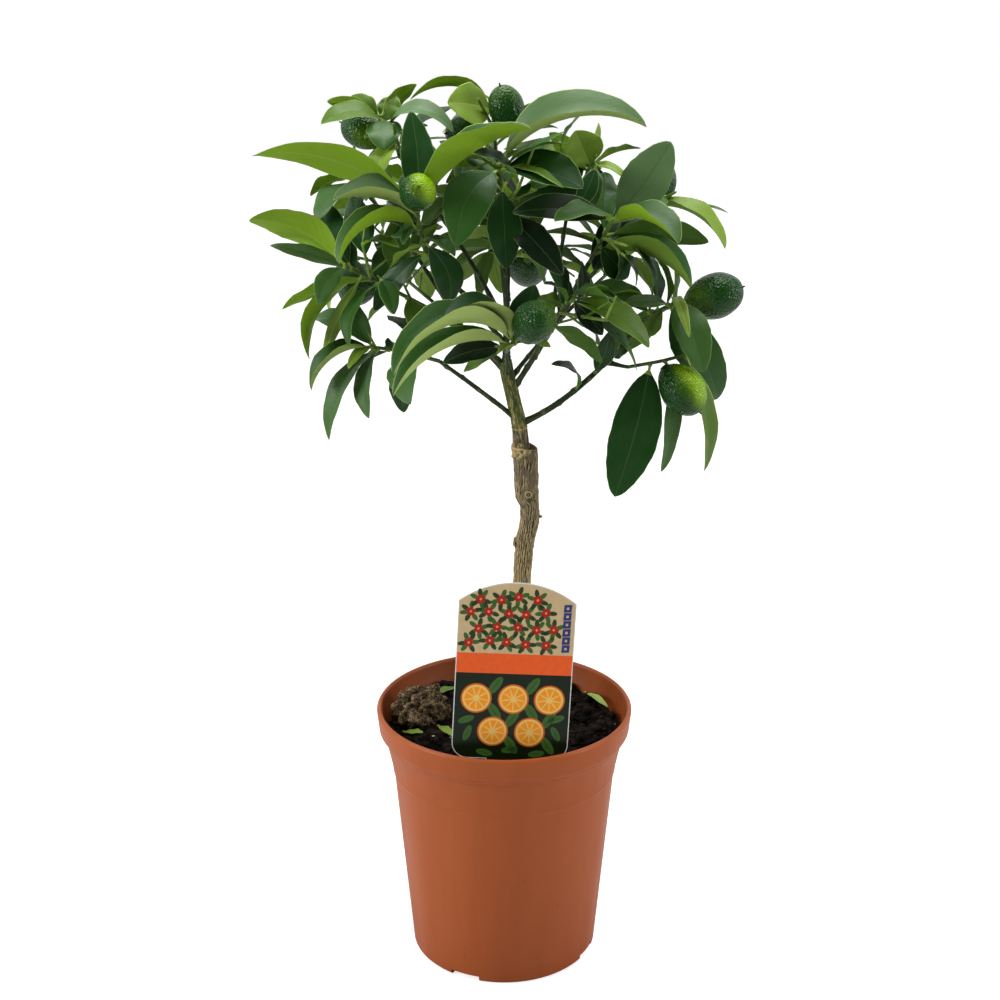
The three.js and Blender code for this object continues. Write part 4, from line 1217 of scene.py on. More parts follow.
def pot_material(name, shade):
    """The spun plastic. Shade below 1 darkens the inside wall: partly painted shade, for the light that reaches
    less far into the pot, and partly compost stains.
    """
    s = settings("pot")
    material, tree = new_material(name, roughness=0.42, specular_ior_level=0.25)
    streaks = patches(tree, 60.0, (1.0, 1.0, 0.06))
    body, streak = shaded(s.body, shade), shaded(s.streak, shade)
    streaked = blend_colour(tree, spread(tree, streaks, 0.0, 0.45), body, streak)
    clouded = uneven(tree, 14.0, 0.25, streaked, streak)
    dirt = maths(tree, "MULTIPLY", use_group(tree, specks(), scale=260.0, size=0.16, share=0.035), s.specks)
    return finish(
        material, base_color=blend_colour(tree, dirt, clouded, srgb(90, 48, 30)),
        roughness=spread(tree, streaks, 0.36, 0.5), normal=grain(tree, 90.0, 0.25, 0.0002, (1.0, 1.0, 9.0)),
    )


def cut_away(piece, cutter_bm):
    """Takes the cutter's forms out of a piece's mesh for good."""
    cutter_mesh = plain_mesh(cutter_bm, "cutter")
    cutter = put_in_scene("cutter", cutter_mesh)
    cut = piece.modifiers.new("openings", "BOOLEAN")
    cut.object, cut.operation, cut.solver = cutter, "DIFFERENCE", "EXACT"
    graph = bpy.context.evaluated_depsgraph_get()
    made = bpy.data.meshes.new_from_object(piece.evaluated_get(graph))
    piece.modifiers.clear()
    whole = piece.data
    piece.data = made
    made.name = whole.name
    bpy.data.meshes.remove(whole)
    bpy.data.objects.remove(cutter)
    bpy.data.meshes.remove(cutter_mesh)


def out_from_axis(degrees, metres):
    return turned(degrees, "Z") @ Matrix.Translation((metres, 0, 0))


def make_pot():
    bm = turned_form(pot_profile(), 160)
    bmesh.ops.recalc_face_normals(bm, faces=bm.faces)
    sharp = [e for e in bm.edges if e.is_manifold and e.calc_face_angle() > math.radians(24)]
    bmesh.ops.bevel(
        bm, geom=sharp, offset=0.45 * MM, segments=3, profile=0.5, affect="EDGES", material=-1, clamp_overlap=True
    )
    mesh = mesh_of(bm, "pot")
    # The inner wall takes the plastic at 0.66 of its colour: painted shade inside the pot, together with compost
    # stains.
    pot = add_piece("pot_shell", mesh, [
        pot_material("terracotta_plastic", 1.0), pot_material("terracotta_plastic_inside", 0.66)
    ], ["pot"])
    for face in mesh.polygons:
        is_inside = face.normal.xy.dot(face.center.xy) < -0.3 * face.center.xy.length
        face.material_index = int(is_inside and face.center.z > 10 * MM)

    tools = bmesh.new()
    notch, drain = POT_NOTCHES, POT_DRAINS
    size = Matrix.Diagonal((notch["depth"] * MM, notch["width"] * MM, notch["height"] * 2 * MM, 1))
    for k in range(notch["count"]):
        place = out_from_axis(notch["turn"] + 360 / notch["count"] * k, settings("pot").base)
        bmesh.ops.create_cube(tools, size=1, matrix=place @ size)
    for k in range(drain["count"]):
        place = out_from_axis(360 / drain["count"] * (k + 0.5), drain["circle"] * MM)
        add_drum(tools, place, 32, drain["radius"], drain["radius"], 20)
    cut_away(pot, tools)
    pot.data.set_sharp_from_angle(angle=math.radians(35))


# ---- soil

CLOD = {"at": (-49, 7, 148.5), "size": (16, 13, 13), "turn": 0.5}
CRUMB = {
    "size": (0.6, 2.9), "wide": (0.7, 1.3), "high": (0.5, 0.9), "clear": 10,
    "grit_share": 0.012, "grit_size": 0.6,
}

# Shed leaves and leaf scraps on the compost: foot and tip, width and tint.
FALLEN = (
    ((50, 42), (62, 15), 6, "fresh"), ((-59, -11), (-47, -22), 7, "bright"), ((-39, -4), (-29, -20), 6, "bright"),
    ((-42, 31), (-30, 45), 7, "olive"), ((20, 38), (40, 30), 9, "mid"), ((-6, 56), (-22, 44), 7, "bright"),
)


def soil_height(x, y):
    """How far the compost stands above its level, in millimetres. It is flat where the trunk stands."""
    bumps = math.sin(x * 0.21 + 1.1) * math.cos(y * 0.17 - 0.6) + 0.6 * math.sin(x * 0.09 - y * 0.26)
    swell = 2.6 * bumps * smoothstep(math.hypot(x, y), 15, 30)
    crumbly = noise.fractal(Vector((x * 0.16, y * 0.16, 3)), 0.9, 2.1, 5) * 1.5
    return swell + crumbly * smoothstep(math.hypot(x, y), 6, 12)


def peat_material(name, colours, grain_scale):
    material, tree = new_material(name, roughness=0.95, specular_ior_level=0.15)
    tone = maths(tree, "MULTIPLY", maths(tree, "ADD", patches(tree, 170.0), patches(tree, 900.0)), 0.5)
    colour_by_tone = ramp(tree, tone, *zip((0.38, 0.5, 0.62), colours))
    return finish(material, base_color=colour_by_tone, normal=grain(tree, grain_scale, 0.8, 0.0009))


def plain_peat(name, tint):
    material, tree = new_material(name, base_color=tint, roughness=0.95, specular_ior_level=0.15)
    return finish(material, normal=grain(tree, 1400.0, 0.7, 0.0005))


def make_soil():
    s = settings("soil")
    radius, level = s.radius / MM, s.level / MM
    profile = [(0, 5), (51, 5), (63.6, 116), (radius - 1, level - 4)]
    profile += [(radius * (1 - k / 60), level) for k in range(61)]
    bm = turned_form(profile, 200)
    for vert in bm.verts:
        if vert.co.z > (level - 1) * MM:
            vert.co.z += soil_height(vert.co.x / MM, vert.co.y / MM) * MM
    peat = peat_material("peat", (shaded(s.damp, 0.5), s.damp, s.dry), 700.0)
    add_piece("compost", bm, [peat], ["soil"])
    make_clod()
    make_crumbs(s, radius, level)
    make_fallen_leaves(level)


def make_clod():
    bm = bmesh.new()
    for vert in add_ball(bm, 6):
        p = vert.co
        lump = 1 + 0.16 * math.sin(4 * p.x + 2 * p.y) * math.cos(3 * p.z - p.y) + 0.08 * math.sin(7 * p.y)
        pits = noise.fractal(p * 3.1, 0.7, 2.2, 6) * 0.17 - 0.3 * max(0, noise.noise(p * 5.0 + Vector((7, 0, 0))))
        vert.co = Vector(p * (lump + pits)) * MM
        vert.co = stretched(vert.co, CLOD["size"])
    place = Matrix.Translation(Vector(CLOD["at"]) * MM) @ Matrix.Rotation(CLOD["turn"], 4, "Z")
    bmesh.ops.transform(bm, matrix=place, verts=bm.verts)
    crust = peat_material("clod_crust", (srgb(28, 22, 16), srgb(80, 66, 47), srgb(164, 144, 110)), 420.0)
    add_piece("clod", bm, [crust])


def make_crumbs(s, radius, level):
    """Loose crumbs of peat, and the white grit among them. None lies where the trunk stands."""
    points, faces = ball_form(1)
    roll = dice(SEEDS["crumbs"])
    heap = Heap()
    for _ in range(s.crumbs):
        angle, distance = 360 * roll(), (radius - 2) * math.sqrt(roll())
        x, y = round_point((0, 0), distance, angle)
        draws = [roll() for _ in range(6)]
        if math.dist((x, y), TRUNK["stock"][0][:2]) < CRUMB["clear"]:
            continue
        size = mix(*CRUMB["size"], draws[0] ** 3)
        squash = vec([mix(*CRUMB[key], draw) for key, draw in zip(("wide", "wide", "high"), draws[1:4])])
        is_grit = draws[4] < CRUMB["grit_share"]
        slot = 3 if is_grit else min(2, int(draws[4] * 3))
        waves = np.sin(points @ vec((5.0, 3.0 + 4 * draws[5], 4.0)) + 9 * draws[1])
        knobbly = points * (1 + 0.34 * waves)[:, None]
        place = (x, y, level + soil_height(x, y) + 0.25 * size)
        crumb = knobbly * size * squash * (CRUMB["grit_size"] if is_grit else 1)
        heap.add(crumb + place, faces, [slot] * len(faces))
    tints = {
        "crumb_damp": s.damp, "crumb_brown": tint_between(s.damp, s.dry, 0.4), "crumb_dry": s.dry,
        "crumb_grit": s.grit,
    }
    add_piece("crumbs", heap, [plain_peat(*row) for row in tints.items()])


# ---- label

def label_place():
    place = Matrix.Translation(Vector(LABEL["at"]) * MM) @ turned(LABEL["turn"], "Z")
    return place @ turned(-LABEL["lean_back"], "X") @ turned(LABEL["roll"], "Y") @ turned(90, "X")


def arc(middle, radius, first, last, steps):
    """Points on an arc, with angles in degrees."""
    return [round_point(middle, radius, mix(first, last, k / steps)) for k in range(steps + 1)]


def label_outline():
    half, stake = LABEL["width"] / 2, LABEL["stake_width"] / 2
    foot, corner, depth = LABEL["foot"], LABEL["corner"], LABEL["stake_length"]
    arch = (half ** 2 + LABEL["crest"] ** 2) / (2 * LABEL["crest"])
    spread_angle = math.degrees(math.asin(half / arch))
    return [
        *arc((corner - half, foot + corner), corner, 180, 270, 12),
        (-stake, foot), (-stake, 6 - depth), (0, 1 - depth), (stake, 6 - depth), (stake, foot),
        *arc((half - corner, foot + corner), corner, -90, 0, 12),
        *arc((0, LABEL["height"] - arch), arch, 90 - spread_angle, 90 + spread_angle, 32),
    ]


LABEL_INKS = {
    **dict.fromkeys(("paper", "wall", "band", "field", "citrus")),
    "pith": srgb(250, 205, 110), "rind": srgb(214, 98, 14), "leaf": srgb(62, 104, 40),
    "berry": srgb(178, 34, 40), "ink_blue": srgb(52, 60, 120), "branch": srgb(40, 66, 30),
}


def ink_slot(ink):
    return list(LABEL_INKS).index(ink)


def label_materials():
    """One for each ink. An ink without a colour of its own takes it from the label's settings."""
    s = settings("label")
    made = []
    for ink, given in LABEL_INKS.items():
        tint = given or getattr(s, ink)
        material, tree = new_material("label_" + ink, roughness=s.gloss, specular_ior_level=0.3)
        made.append(finish(material, base_color=uneven(tree, 300.0, 0.6, tint, shaded(tint, 0.8))))
    return made


def add_motif(bm, ink, place, sides, radius, stretch=1.0):
    """A flat printed form that stands a hair proud of the label."""
    x, y, angle, layer = place
    front = (LABEL["thickness"] / 2 + 0.03 * layer) * MM
    matrix = Matrix.Translation((x * MM, y * MM, front)) @ turned(angle, "Z")
    form = add_drum(bm, matrix @ Matrix.Diagonal((1, stretch, 1, 1)), sides, radius, radius, 0.04)
    paint_faces(form, ink_slot(ink))


def add_printed_leaf(bm, x, y, angle, length, rib):
    """A leaf and its rib."""
    add_motif(bm, "leaf", (x, y, angle, 1), 10, length, 0.42)
    add_motif(bm, "branch", (x, y, angle, 2), 4, rib, 0.05)


def print_flowers(bm):
    """Upper field: five-petalled flowers with leaves in offset rows, and a border of squares at the right."""
    roll = dice(SEEDS["flowers"])
    for row in range(4):
        for column in range(6):
            x = -26.5 + 10.4 * column + (5.2 if row % 2 else 0) + 2 * roll()
            y = 64.0 + 8.3 * row + 2 * roll()
            top = LABEL["height"] - 5.5 - (2 * x / LABEL["width"]) ** 2 * LABEL["crest"]
            if x > 21 or y > top:
                continue
            turn = 360 * roll()
            for k in range(6):
                angle = turn + 60 * k + 30 * roll()
                place = (*round_point((x, y), 3.7, angle), angle, 1)
                add_motif(bm, "branch" if k % 2 else "leaf", place, 8, 2.6, 0.5)
            for k in range(5):
                angle = turn + 72 * k
                add_motif(bm, "berry", (*round_point((x, y), 1.5, angle), angle, 2 + k % 2), 8, 1.5, 0.7)
            add_motif(bm, "citrus", (x, y, 0, 4), 8, 0.7)
    for k in range(6):
        add_motif(bm, "ink_blue", (27.6, 62.4 + 4.6 * k, 45, 1), 4, 3.2, 0.9)
        add_motif(bm, "wall", (27.6, 62.4 + 4.6 * k, 45, 2), 4, 1.0, 0.9)


PRINTED_LEAVES = (
    (-24, 12, 70), (-25, 20, 20), (25, 13, -60), (25, 21.5, 20), (0, 3, 10), (-14, 1, -12), (15, 1, 8),
)


def print_wheels(bm):
    """Lower field: citrus wheels in two offset rows, with leaves between and below them."""
    for y, columns in ((32.5, (-20, 0.5, 20.5)), (13.5, (-10, 10.5))):
        for x in columns:
            for side in (-1, 1):
                if x < 20:
                    add_printed_leaf(bm, x + 10.3, y + 7.5 * side, 55 * side, 6.2, 5.2)
            add_motif(bm, "rind", (x, y, 0, 3), 36, 8.6)
            add_motif(bm, "pith", (x, y, 0, 4), 36, 7.7)
            for k in range(9):
                angle = 40 * k + 10
                add_motif(bm, "citrus", (*round_point((x, y), 4.7, angle), angle + 90, 5), 3, 2.3, 1.45)
    for leaf in PRINTED_LEAVES:
        add_printed_leaf(bm, *leaf, 4.8, 4.0)


def front_faces(bm):
    return [f for f in bm.faces if f.normal.z > 0.9]


def make_label():
    bm = bmesh.new()
    thickness = LABEL["thickness"] * MM
    back = bm.faces.new([bm.verts.new((x * MM, y * MM, -thickness / 2)) for x, y in label_outline()])
    raised = bmesh.ops.extrude_face_region(bm, geom=[back])["geom"]
    front = [g for g in raised if isinstance(g, bmesh.types.BMVert)]
    bmesh.ops.translate(bm, verts=front, vec=(0, 0, thickness))
    bmesh.ops.recalc_face_normals(bm, faces=bm.faces)
    bm.faces.ensure_lookup_table()
    bmesh.ops.inset_region(bm, faces=front_faces(bm), thickness=LABEL["border"] * MM, use_even_offset=True)
    for height in (LABEL["foot"], *LABEL["band"]):
        printed = front_faces(bm)
        seams = {e for f in printed for e in f.edges}
        corners = {v for f in printed for v in f.verts}
        bmesh.ops.bisect_plane(
            bm, geom=[*printed, *seams, *corners], plane_co=(0, height * MM, 0), plane_no=(0, 1, 0), dist=WELD
        )
    low, high = LABEL["band"]
    for face in front_faces(bm):
        y = face.calc_center_median().y / MM
        if face.calc_area() / MM / MM > (50 if y < 0 else 150):
            face.material_index = ink_slot("field" if y < low else ("band" if y < high else "wall"))
    print_flowers(bm)
    print_wheels(bm)
    bmesh.ops.transform(bm, matrix=label_place(), verts=bm.verts)
    add_piece("plant_label", mesh_of(bm, "plant_label", smooth=False), label_materials(), ["label"])


# ---- bark

def stock_radius(z):
    foot = TRUNK["stock"][0][2]
    return between(TRUNK["stock_radius"], z) + TRUNK["flare"] * math.exp((foot - z) / TRUNK["flare_height"])


def stock_relief(t, angle, middle):
    """Finely cracked bark: wandering cracks between tan shoulders, and a lumpy fringe where the graft healed."""
    z = middle[2]
    depth = settings("bark").fissures / MM
    around = on_skin(angle, 1, z * 0.1)
    smooth = smoothstep(z, 272, 290) * smoothstep(noise.noise(around * 1.3 + Vector((3, 1, 0))), -0.3, 0.15)
    rough = 1 - 0.8 * smooth
    cracks, shoulders = (rough * line for line in crack_lines(angle, z, 25, 0.0))
    fine, fine_shoulders = (rough * line for line in crack_lines(angle, z, 36, 9.0))
    lumps = noise.noise(around * 1.6) * 0.4 + noise.noise(Vector((around.x * 4, around.y * 4, z * 0.3))) * 0.22
    foot = 308.3 + 2.6 * math.cos(angle) + 2.2 * noise.noise(Vector((around.x * 3, around.y * 3, 5)))
    callus = smoothstep(z, foot - 0.7, foot + 0.9) * (1 - smoothstep(math.cos(angle), 0.5, 0.9))
    knobbly = callus * noise.noise(Vector((around.x * 4.4, around.y * 4.4, z * 0.6)))
    aged = 0.1 - 0.13 * smoothstep(z, 235, 285)
    tone = 0.42 + aged - 0.7 * cracks - 0.4 * fine + 0.45 * shoulders + 0.3 * fine_shoulders + 0.16 * lumps
    tone = mix(tone, 0.66 + 0.5 * knobbly, callus)
    ridges = 0.5 * shoulders - cracks + 0.3 * fine_shoulders - 0.5 * fine
    return lumps + 0.7 * callus + 1.2 * knobbly + depth * ridges * (1 - callus), tone


def scion_relief(t, angle, middle):
    """Young bark: long narrow raised lines of cork, and one ring scar."""
    z = middle[2]
    cork = lines_of_noise(angle, z, 2.6, 0.06, 0.12, seed=4.0)
    thin = lines_of_noise(angle, z, 4.6, 0.11, 0.1, seed=15.0)
    scar = math.exp(-((z - TRUNK["scar_height"] - 0.8 * math.sin(angle)) / 0.5) ** 2)
    ribbing = 0.12 * math.sin(angle * 5 + z * 0.05)
    tone = 0.2 + 0.2 * noise.noise(on_skin(angle, 2, z * 0.2))
    tone += 0.62 * max(cork, 0.8 * thin) + 0.45 * scar
    return 0.22 * cork + 0.14 * thin + 0.35 * scar + ribbing, tone


def tone_layer_value(tree):
    return shader_node(tree, "Attribute", attribute_name="tone").outputs["Fac"]


def bark_material(name, stops, roughness, grain_scale, depth):
    """A bark coloured by its own relief, which each vertex holds as its tone."""
    material, tree = new_material(name, roughness=roughness, specular_ior_level=0.3)
    cloud = maths(tree, "SUBTRACT", patches(tree, 420.0, (1.0, 1.0, 0.35)), 0.5)
    shifted = maths(tree, "MULTIPLY_ADD", cloud, 0.5, tone_layer_value(tree))
    rough = grain(tree, grain_scale, 0.6, depth, (1.0, 1.0, 0.3))
    return finish(material, base_color=ramp(tree, shifted, *stops), normal=rough)


def add_lump(bm, tone_layer, place, size, tone, stretch=(1, 1, 1)):
    """A small uneven swelling that sits in the bark."""
    middle = Vector(place)
    for vert in add_ball(bm, 4):
        away = vert.co.normalized()
        bump = noise.noise(away * 2.2 + middle) + 0.5 * noise.noise(away * 5 + middle)
        form = away * size * (1 + 0.3 * bump)
        vert.co = (middle + stretched(form, stretch)) * MM
        vert[tone_layer] = tone + 0.6 * bump


def add_branch_scar(bm, tone_layer, place, size):
    """The round scar of a cut side shoot: a tan ring with a groove inside it."""
    middle = Vector(place)
    for vert in add_ball(bm, 4):
        out = math.hypot(vert.co.x, vert.co.z)
        ring = math.exp(-((out - 0.72) / 0.2) ** 2)
        core = math.exp(-(out / 0.22) ** 2)
        vert.co = (middle + stretched(vert.co, (size, 0.9 + 0.5 * ring, size))) * MM
        vert[tone_layer] = 0.05 + 0.85 * ring + 0.6 * core
    green = middle + Vector((0.5, 0.5, -1.55 * size))
    patch = add_ball(bm, 3)
    for vert in patch:
        vert.co = (green + stretched(vert.co, (1.6, 0.9, 1.5 - 0.7 * abs(vert.co.x)))) * MM
        vert[tone_layer] = 0.1
    paint_faces(patch, 1)


def make_trunk():
    s = settings("bark")
    bm = bmesh.new()
    tone = bm.verts.layers.float.new("tone")
    wrap_limb(bm, STOCK, lambda t: stock_radius(STOCK.point(t)[2]), 144, 420, stock_relief, tone)
    slope = math.radians(TRUNK["cut_slope"])
    top = Vector((TRUNK["stock"][-1][0], 0, TRUNK["cut_height"])) * MM
    bmesh.ops.bisect_plane(
        bm, geom=[*bm.verts, *bm.edges, *bm.faces], plane_co=top,
        plane_no=(math.sin(slope), 0, math.cos(slope)), clear_outer=True,
    )
    for face in close_holes(bm):
        face.material_index = 2 if face.calc_center_median().z > 0.2 else 0
    sawn = [f for f in bm.faces if f.material_index == 2]
    bmesh.ops.inset_region(bm, faces=sawn, thickness=0.8 * MM)
    bmesh.ops.inset_region(bm, faces=sawn, thickness=1.2 * MM, depth=-0.8 * MM)
    for vert in {v for f in sawn for v in f.verts}:
        vert[tone] = 0.0
    stock_faces = len(bm.faces)
    radius = lambda t: between(TRUNK["scion_radius"], SCION.point(t)[2])
    wrap_limb(bm, SCION, radius, 64, 150, scion_relief, tone)
    close_holes(bm)
    bm.faces.ensure_lookup_table()
    for face in bm.faces[stock_faces:]:
        face.material_index = 1 if face.calc_center_median().z / MM > TRUNK["scar_height"] - 1.5 else 0
    callus = TRUNK["callus"]
    for k in range(callus["lumps"]):
        x, y = round_point(callus["at"], callus["radius"], 125 + 16 * k + 6 * math.sin(3.1 * k))
        place = (x, y, callus["at"][2] + 1.3 * math.sin(1.7 * k))
        size = 1.2 + 0.6 * abs(math.sin(2.3 * k))
        add_lump(bm, tone, place, size, 0.62, (1, 1, 0.8 + 0.5 * abs(math.sin(1.3 * k))))
    for place, size, stretch in TRUNK["knots"]:
        add_lump(bm, tone, place, size, 0.35, stretch)
    add_branch_scar(bm, tone, *TRUNK["scar"])
    stock = ((0.1, s.crack), (0.45, s.bark), (0.8, s.cork))
    scion = ((0.15, s.young), (0.5, srgb(122, 122, 66)), (0.8, s.cork))
    sawn_wood = ((0.0, srgb(74, 58, 40)), (0.9, srgb(150, 124, 84)))
    finishes = [
        bark_material("stock_bark", stock, 0.9, 900.0, 0.0006),
        bark_material("scion_bark", scion, 0.7, 900.0, 0.0003),
        bark_material("sawn_wood", sawn_wood, 0.9, 1500.0, 0.0006),
    ]
    add_piece("trunk_bark", bm, finishes, ["trunk"])


def bough_relief(number, path_length):
    """Lightly ribbed green bark with a bud bump at each old leaf scar."""

    def relief(t, angle, middle):
        ribs = 0.07 * math.sin(3 * angle + 4 * t + number)
        rough = noise.noise(on_skin(angle, 1.4, t * path_length * 0.12, number))
        bud = 0.0
        for k in range(int(path_length / 11)):
            far = (t * path_length - 7 - 11 * k) / 1.5
            aside = (angle - math.radians(RULE["golden"] * k) + math.pi) % (2 * math.pi) - math.pi
            bud += math.exp(-far * far - (aside / 0.75) ** 2)
            bud += 0.25 * math.exp(-(far / 0.7) ** 2)
        return ribs + 0.12 * rough + 0.5 * bud, 0.35 + 0.5 * rough + 0.5 * bud

    return relief


def make_boughs():
    s = settings("bark")
    bm = bmesh.new()
    tone = bm.verts.layers.float.new("tone")
    for number, (path, (foot, tip)) in enumerate(LIMBS.values()):
        steps = max(24, int(path.length * 0.9))
        collar = lambda t, size=path.length: 0.9 * math.exp(-((t * size) / 4.5) ** 2)
        radius = lambda t: mix(foot, tip, t) * s.slender + collar(t)
        wrap_limb(bm, path, radius, 20, steps, bough_relief(number, path.length), tone)
    close_holes(bm)
    stops = ((0.1, shaded(s.bough, 0.6)), (0.45, s.bough), (0.95, srgb(112, 118, 66)))
    skin = bark_material("bough_skin", stops, 0.55, 700.0, 0.0002)
    add_piece("bough_bark", bm, [skin], BOUGH_NODES)


# ---- twigs

class Rounded:
    """A route with its elbow eased off."""

    def __init__(self, route, ease=0.12):
        self.route, self.ease = route, ease

    def point(self, t):
        reach = min(self.ease, t, 1 - t)
        return sum(self.route.point(t + reach * k) for k in (-1, -0.5, 0, 0.5, 1)) / 5

    def way(self, t):
        return unit(self.point(min(1, t + 0.02)) - self.point(max(0, t - 0.02)))


def shoot_material(name, tint, darker):
    material, tree = new_material(name, roughness=0.5, specular_ior_level=0.4)
    skin = uneven(tree, 160.0, 1.0, tint, darker)
    return finish(material, base_color=skin, normal=grain(tree, 1600.0, 0.3, 0.0002))


def make_twigs():
    """Stems, twigs, fruit stalks and the fine side shoots, with a swelling where each leaf joins."""
    s = settings("bark")
    heap = Heap()
    knob, knob_faces = ball_form(1)
    for mass in GROWN:
        for number, (path, (foot, tip)) in enumerate(mass.shoots):
            slot = 0 if number == 0 else 1
            radius = lambda t: mix(foot, tip, t) * s.slender * (1 if t < 0.97 else 0.6)
            tube(heap, Rounded(path), radius, 10, 16, slot)
        for path, (foot, tip) in mass.fine_shoots:
            tube(heap, path, lambda t: mix(foot, tip, t), 6, 4, 1)
        for *_, stalk in mass.fruit:
            tube(heap, stalk, lambda t: mix(0.8, 1.15, t), 8, 8, 1)
        for blade in mass.blades:
            heap.add(knob * 1.45 + blade.root + blade.way * 0.9, knob_faces, [1] * len(knob_faces))
    finishes = [
        shoot_material("old_shoot", tint_between(s.bough, s.shoot, 0.5), s.bough),
        shoot_material("new_shoot", s.shoot, shaded(s.shoot, 0.55)),
    ]
    add_piece("twigs", heap, finishes, FOLIAGE_NODES)


# ---- leaves

# Upper faces, the first six from dark to light, and the underside of each where its tint names no other.
UNDERSIDES = {
    "dark": "under_dark", "deep": "under_dark", "mid": "under", "grey": "under", "olive": "under_young",
    "bright": "under_young", "bloom": "under", "fresh": "under_young",
}
TINTS = tuple(UNDERSIDES)
UNDERS = ("under_dark", "under", "under_young", "under_pale")
LINES = ("rib_dark", "rib_pale", "edge_dark", "edge_pale", "petiole")
LEAF_SLOTS = (*TINTS, *UNDERS, *LINES)

# Points round a leaf's section, and how many of them lie on its upper face.
RING = 14
UPPER = 8


def leaf_half_width(s, width, foot, point):
    """The full width before the middle, and ends that are blunter the lower their figure."""
    part = np.clip((s - LEAF["stalk"]) / (1 - LEAF["stalk"]), 0, 1)
    bulge = np.maximum(0, np.sin(np.pi * part ** 0.96)) ** mix(foot, point, part)
    return np.maximum(LEAF["petiole"], width / 2 * bulge)


def leaf_stations(count):
    """Shares of the length, closer together at the foot and the tip."""
    even = np.linspace(0, 1, count)
    return mix(even, 0.5 - 0.5 * np.cos(np.pi * even), 0.6)


def leaf_faces(count):
    """Quads between the rings, and a closing face at each end, with the strip that each lies in."""
    faces, strips = [], []
    for k in range(count - 1):
        for j in range(RING):
            low, after = RING * k, (j + 1) % RING
            quad = (low + j, low + after, low + RING + after, low + RING + j)
            faces.append(quad if j < UPPER - 1 else quad[1:] + quad[:1])
            strips.append(j)
    faces.append(tuple(range(RING - 1, -1, -1)))
    faces.append(tuple(RING * (count - 1) + j for j in range(RING)))
    return faces, strips + [0, 0]


def add_leaf(heap, blade, count, roll, faces, strips):
    """A closed blade: upper face, underside, pale midrib and margin, on a round stalk."""
    s = settings("leaf")
    thick, margin, rib, wave = (v / MM for v in (s.thickness, s.margin, s.rib, s.wave))
    stations = leaf_stations(count)
    half = leaf_half_width(stations, blade.width, blade.foot, blade.point)
    half[-1] = 0.3
    crisp = 1 + 0.02 * np.sin(stations * blade.length * 0.9) * (stations > 0.35)
    half = np.where(half > 1, half * crisp, half)
    inner = np.maximum(half - margin, half * 0.72)
    rib_half = np.minimum(mix(rib, rib * 0.4, stations), half * 0.4)
    upper = np.stack([-half, -inner, -half * 0.5, -rib_half, rib_half, half * 0.5, inner, half], axis=1)
    x = np.concatenate((upper, upper[:, 6:0:-1]), axis=1)
    part = np.abs(x) / half[:, None]

    is_stalk = np.clip(1 - (stations - LEAF["stalk"] * 0.8) / 0.05, 0, 1)[:, None]
    swell = np.sqrt(np.clip(1 - part ** 2, 0, 1))
    near_rib = np.exp(-(x / 1.1) ** 2)
    keel = mix(0.75, 0.1, stations)[:, None] * near_rib
    above = thick * swell / 2 - 0.18 * near_rib * (1 - is_stalk) + 0.5 * swell * is_stalk
    below = -thick * swell / 2 - keel * (1 - is_stalk) - 0.5 * swell * is_stalk
    lift = np.concatenate((above[:, :UPPER], below[:, UPPER:]), axis=1)

    draws = [roll() for _ in range(7)]
    fold = blade.fold if blade.fold is not None else mix(12, 26, draws[0])
    fold = np.radians(fold) * (1.15 - 0.4 * stations)[:, None]
    twist = np.radians(mix(-16, 16, draws[1]) * (0.3 if blade.fold else 1)) * stations[:, None]
    ripple = wave * (0.5 if blade.fold else 1) * (half / 9)[:, None] * part ** 2 * np.sin(
        2 * np.pi * (mix(1.6, 3.2, draws[2]) * stations[:, None] + np.where(x > 0, draws[3], draws[4]))
    ) * (1 - is_stalk)
    droop = mix(0.1, 0.24, draws[5]) if blade.fold is None else 0.06
    cupped = np.abs(x) * np.sin(fold) - droop * part ** 2 * half[:, None]
    height = cupped * (1 - is_stalk) + ripple + lift

    middle, facing = blade.rib(stations)
    bow = mix(-0.05, 0.05, draws[6]) if blade.bow is None else blade.bow * (1 if blade.side[0] > 0 else -1)
    sway = bow * blade.length * np.sin(np.pi * stations)
    middle = middle + np.outer(sway, blade.side)
    turned_side = blade.side * np.cos(twist) + facing * np.sin(twist)
    turned_face = facing * np.cos(twist) - blade.side * np.sin(twist)
    points = (
        middle[:, None, :] + turned_side[:, None, :] * (x * np.cos(fold))[:, :, None]
        + turned_face[:, None, :] * height[:, :, None]
    )
    uv = np.stack((np.broadcast_to(stations[:, None], x.shape), 0.5 + 0.5 * x / half[:, None]), axis=2)
    stalk_faces = RING * int((stations < LEAF["stalk"] - 0.005).sum())
    heap.add(points.reshape(-1, 3), faces, leaf_slots(blade.tint, strips, stalk_faces), uv.reshape(-1, 2))


def leaf_slots(tint, strips, stalk_faces):
    """The material of each face. The tint mid_young is a middle upper face over a young underside."""
    upper, _, below = tint.partition("_")
    under = "under_" + below if below else UNDERSIDES[upper]
    pale = under in ("under_young", "under_pale")
    edge, low_rib = ("edge_pale", "rib_pale") if pale else ("edge_dark", "rib_dark")
    rib = "rib_pale" if upper in ("bright", "fresh") else "rib_dark"
    by_strip = [edge, upper, upper, rib, upper, upper, edge, edge, under, under, low_rib, under, under, edge]
    slots = [LEAF_SLOTS.index(kind) for kind in by_strip]
    stalk = LEAF_SLOTS.index("petiole")
    return [stalk if k < stalk_faces else slots[j] for k, j in enumerate(strips)]


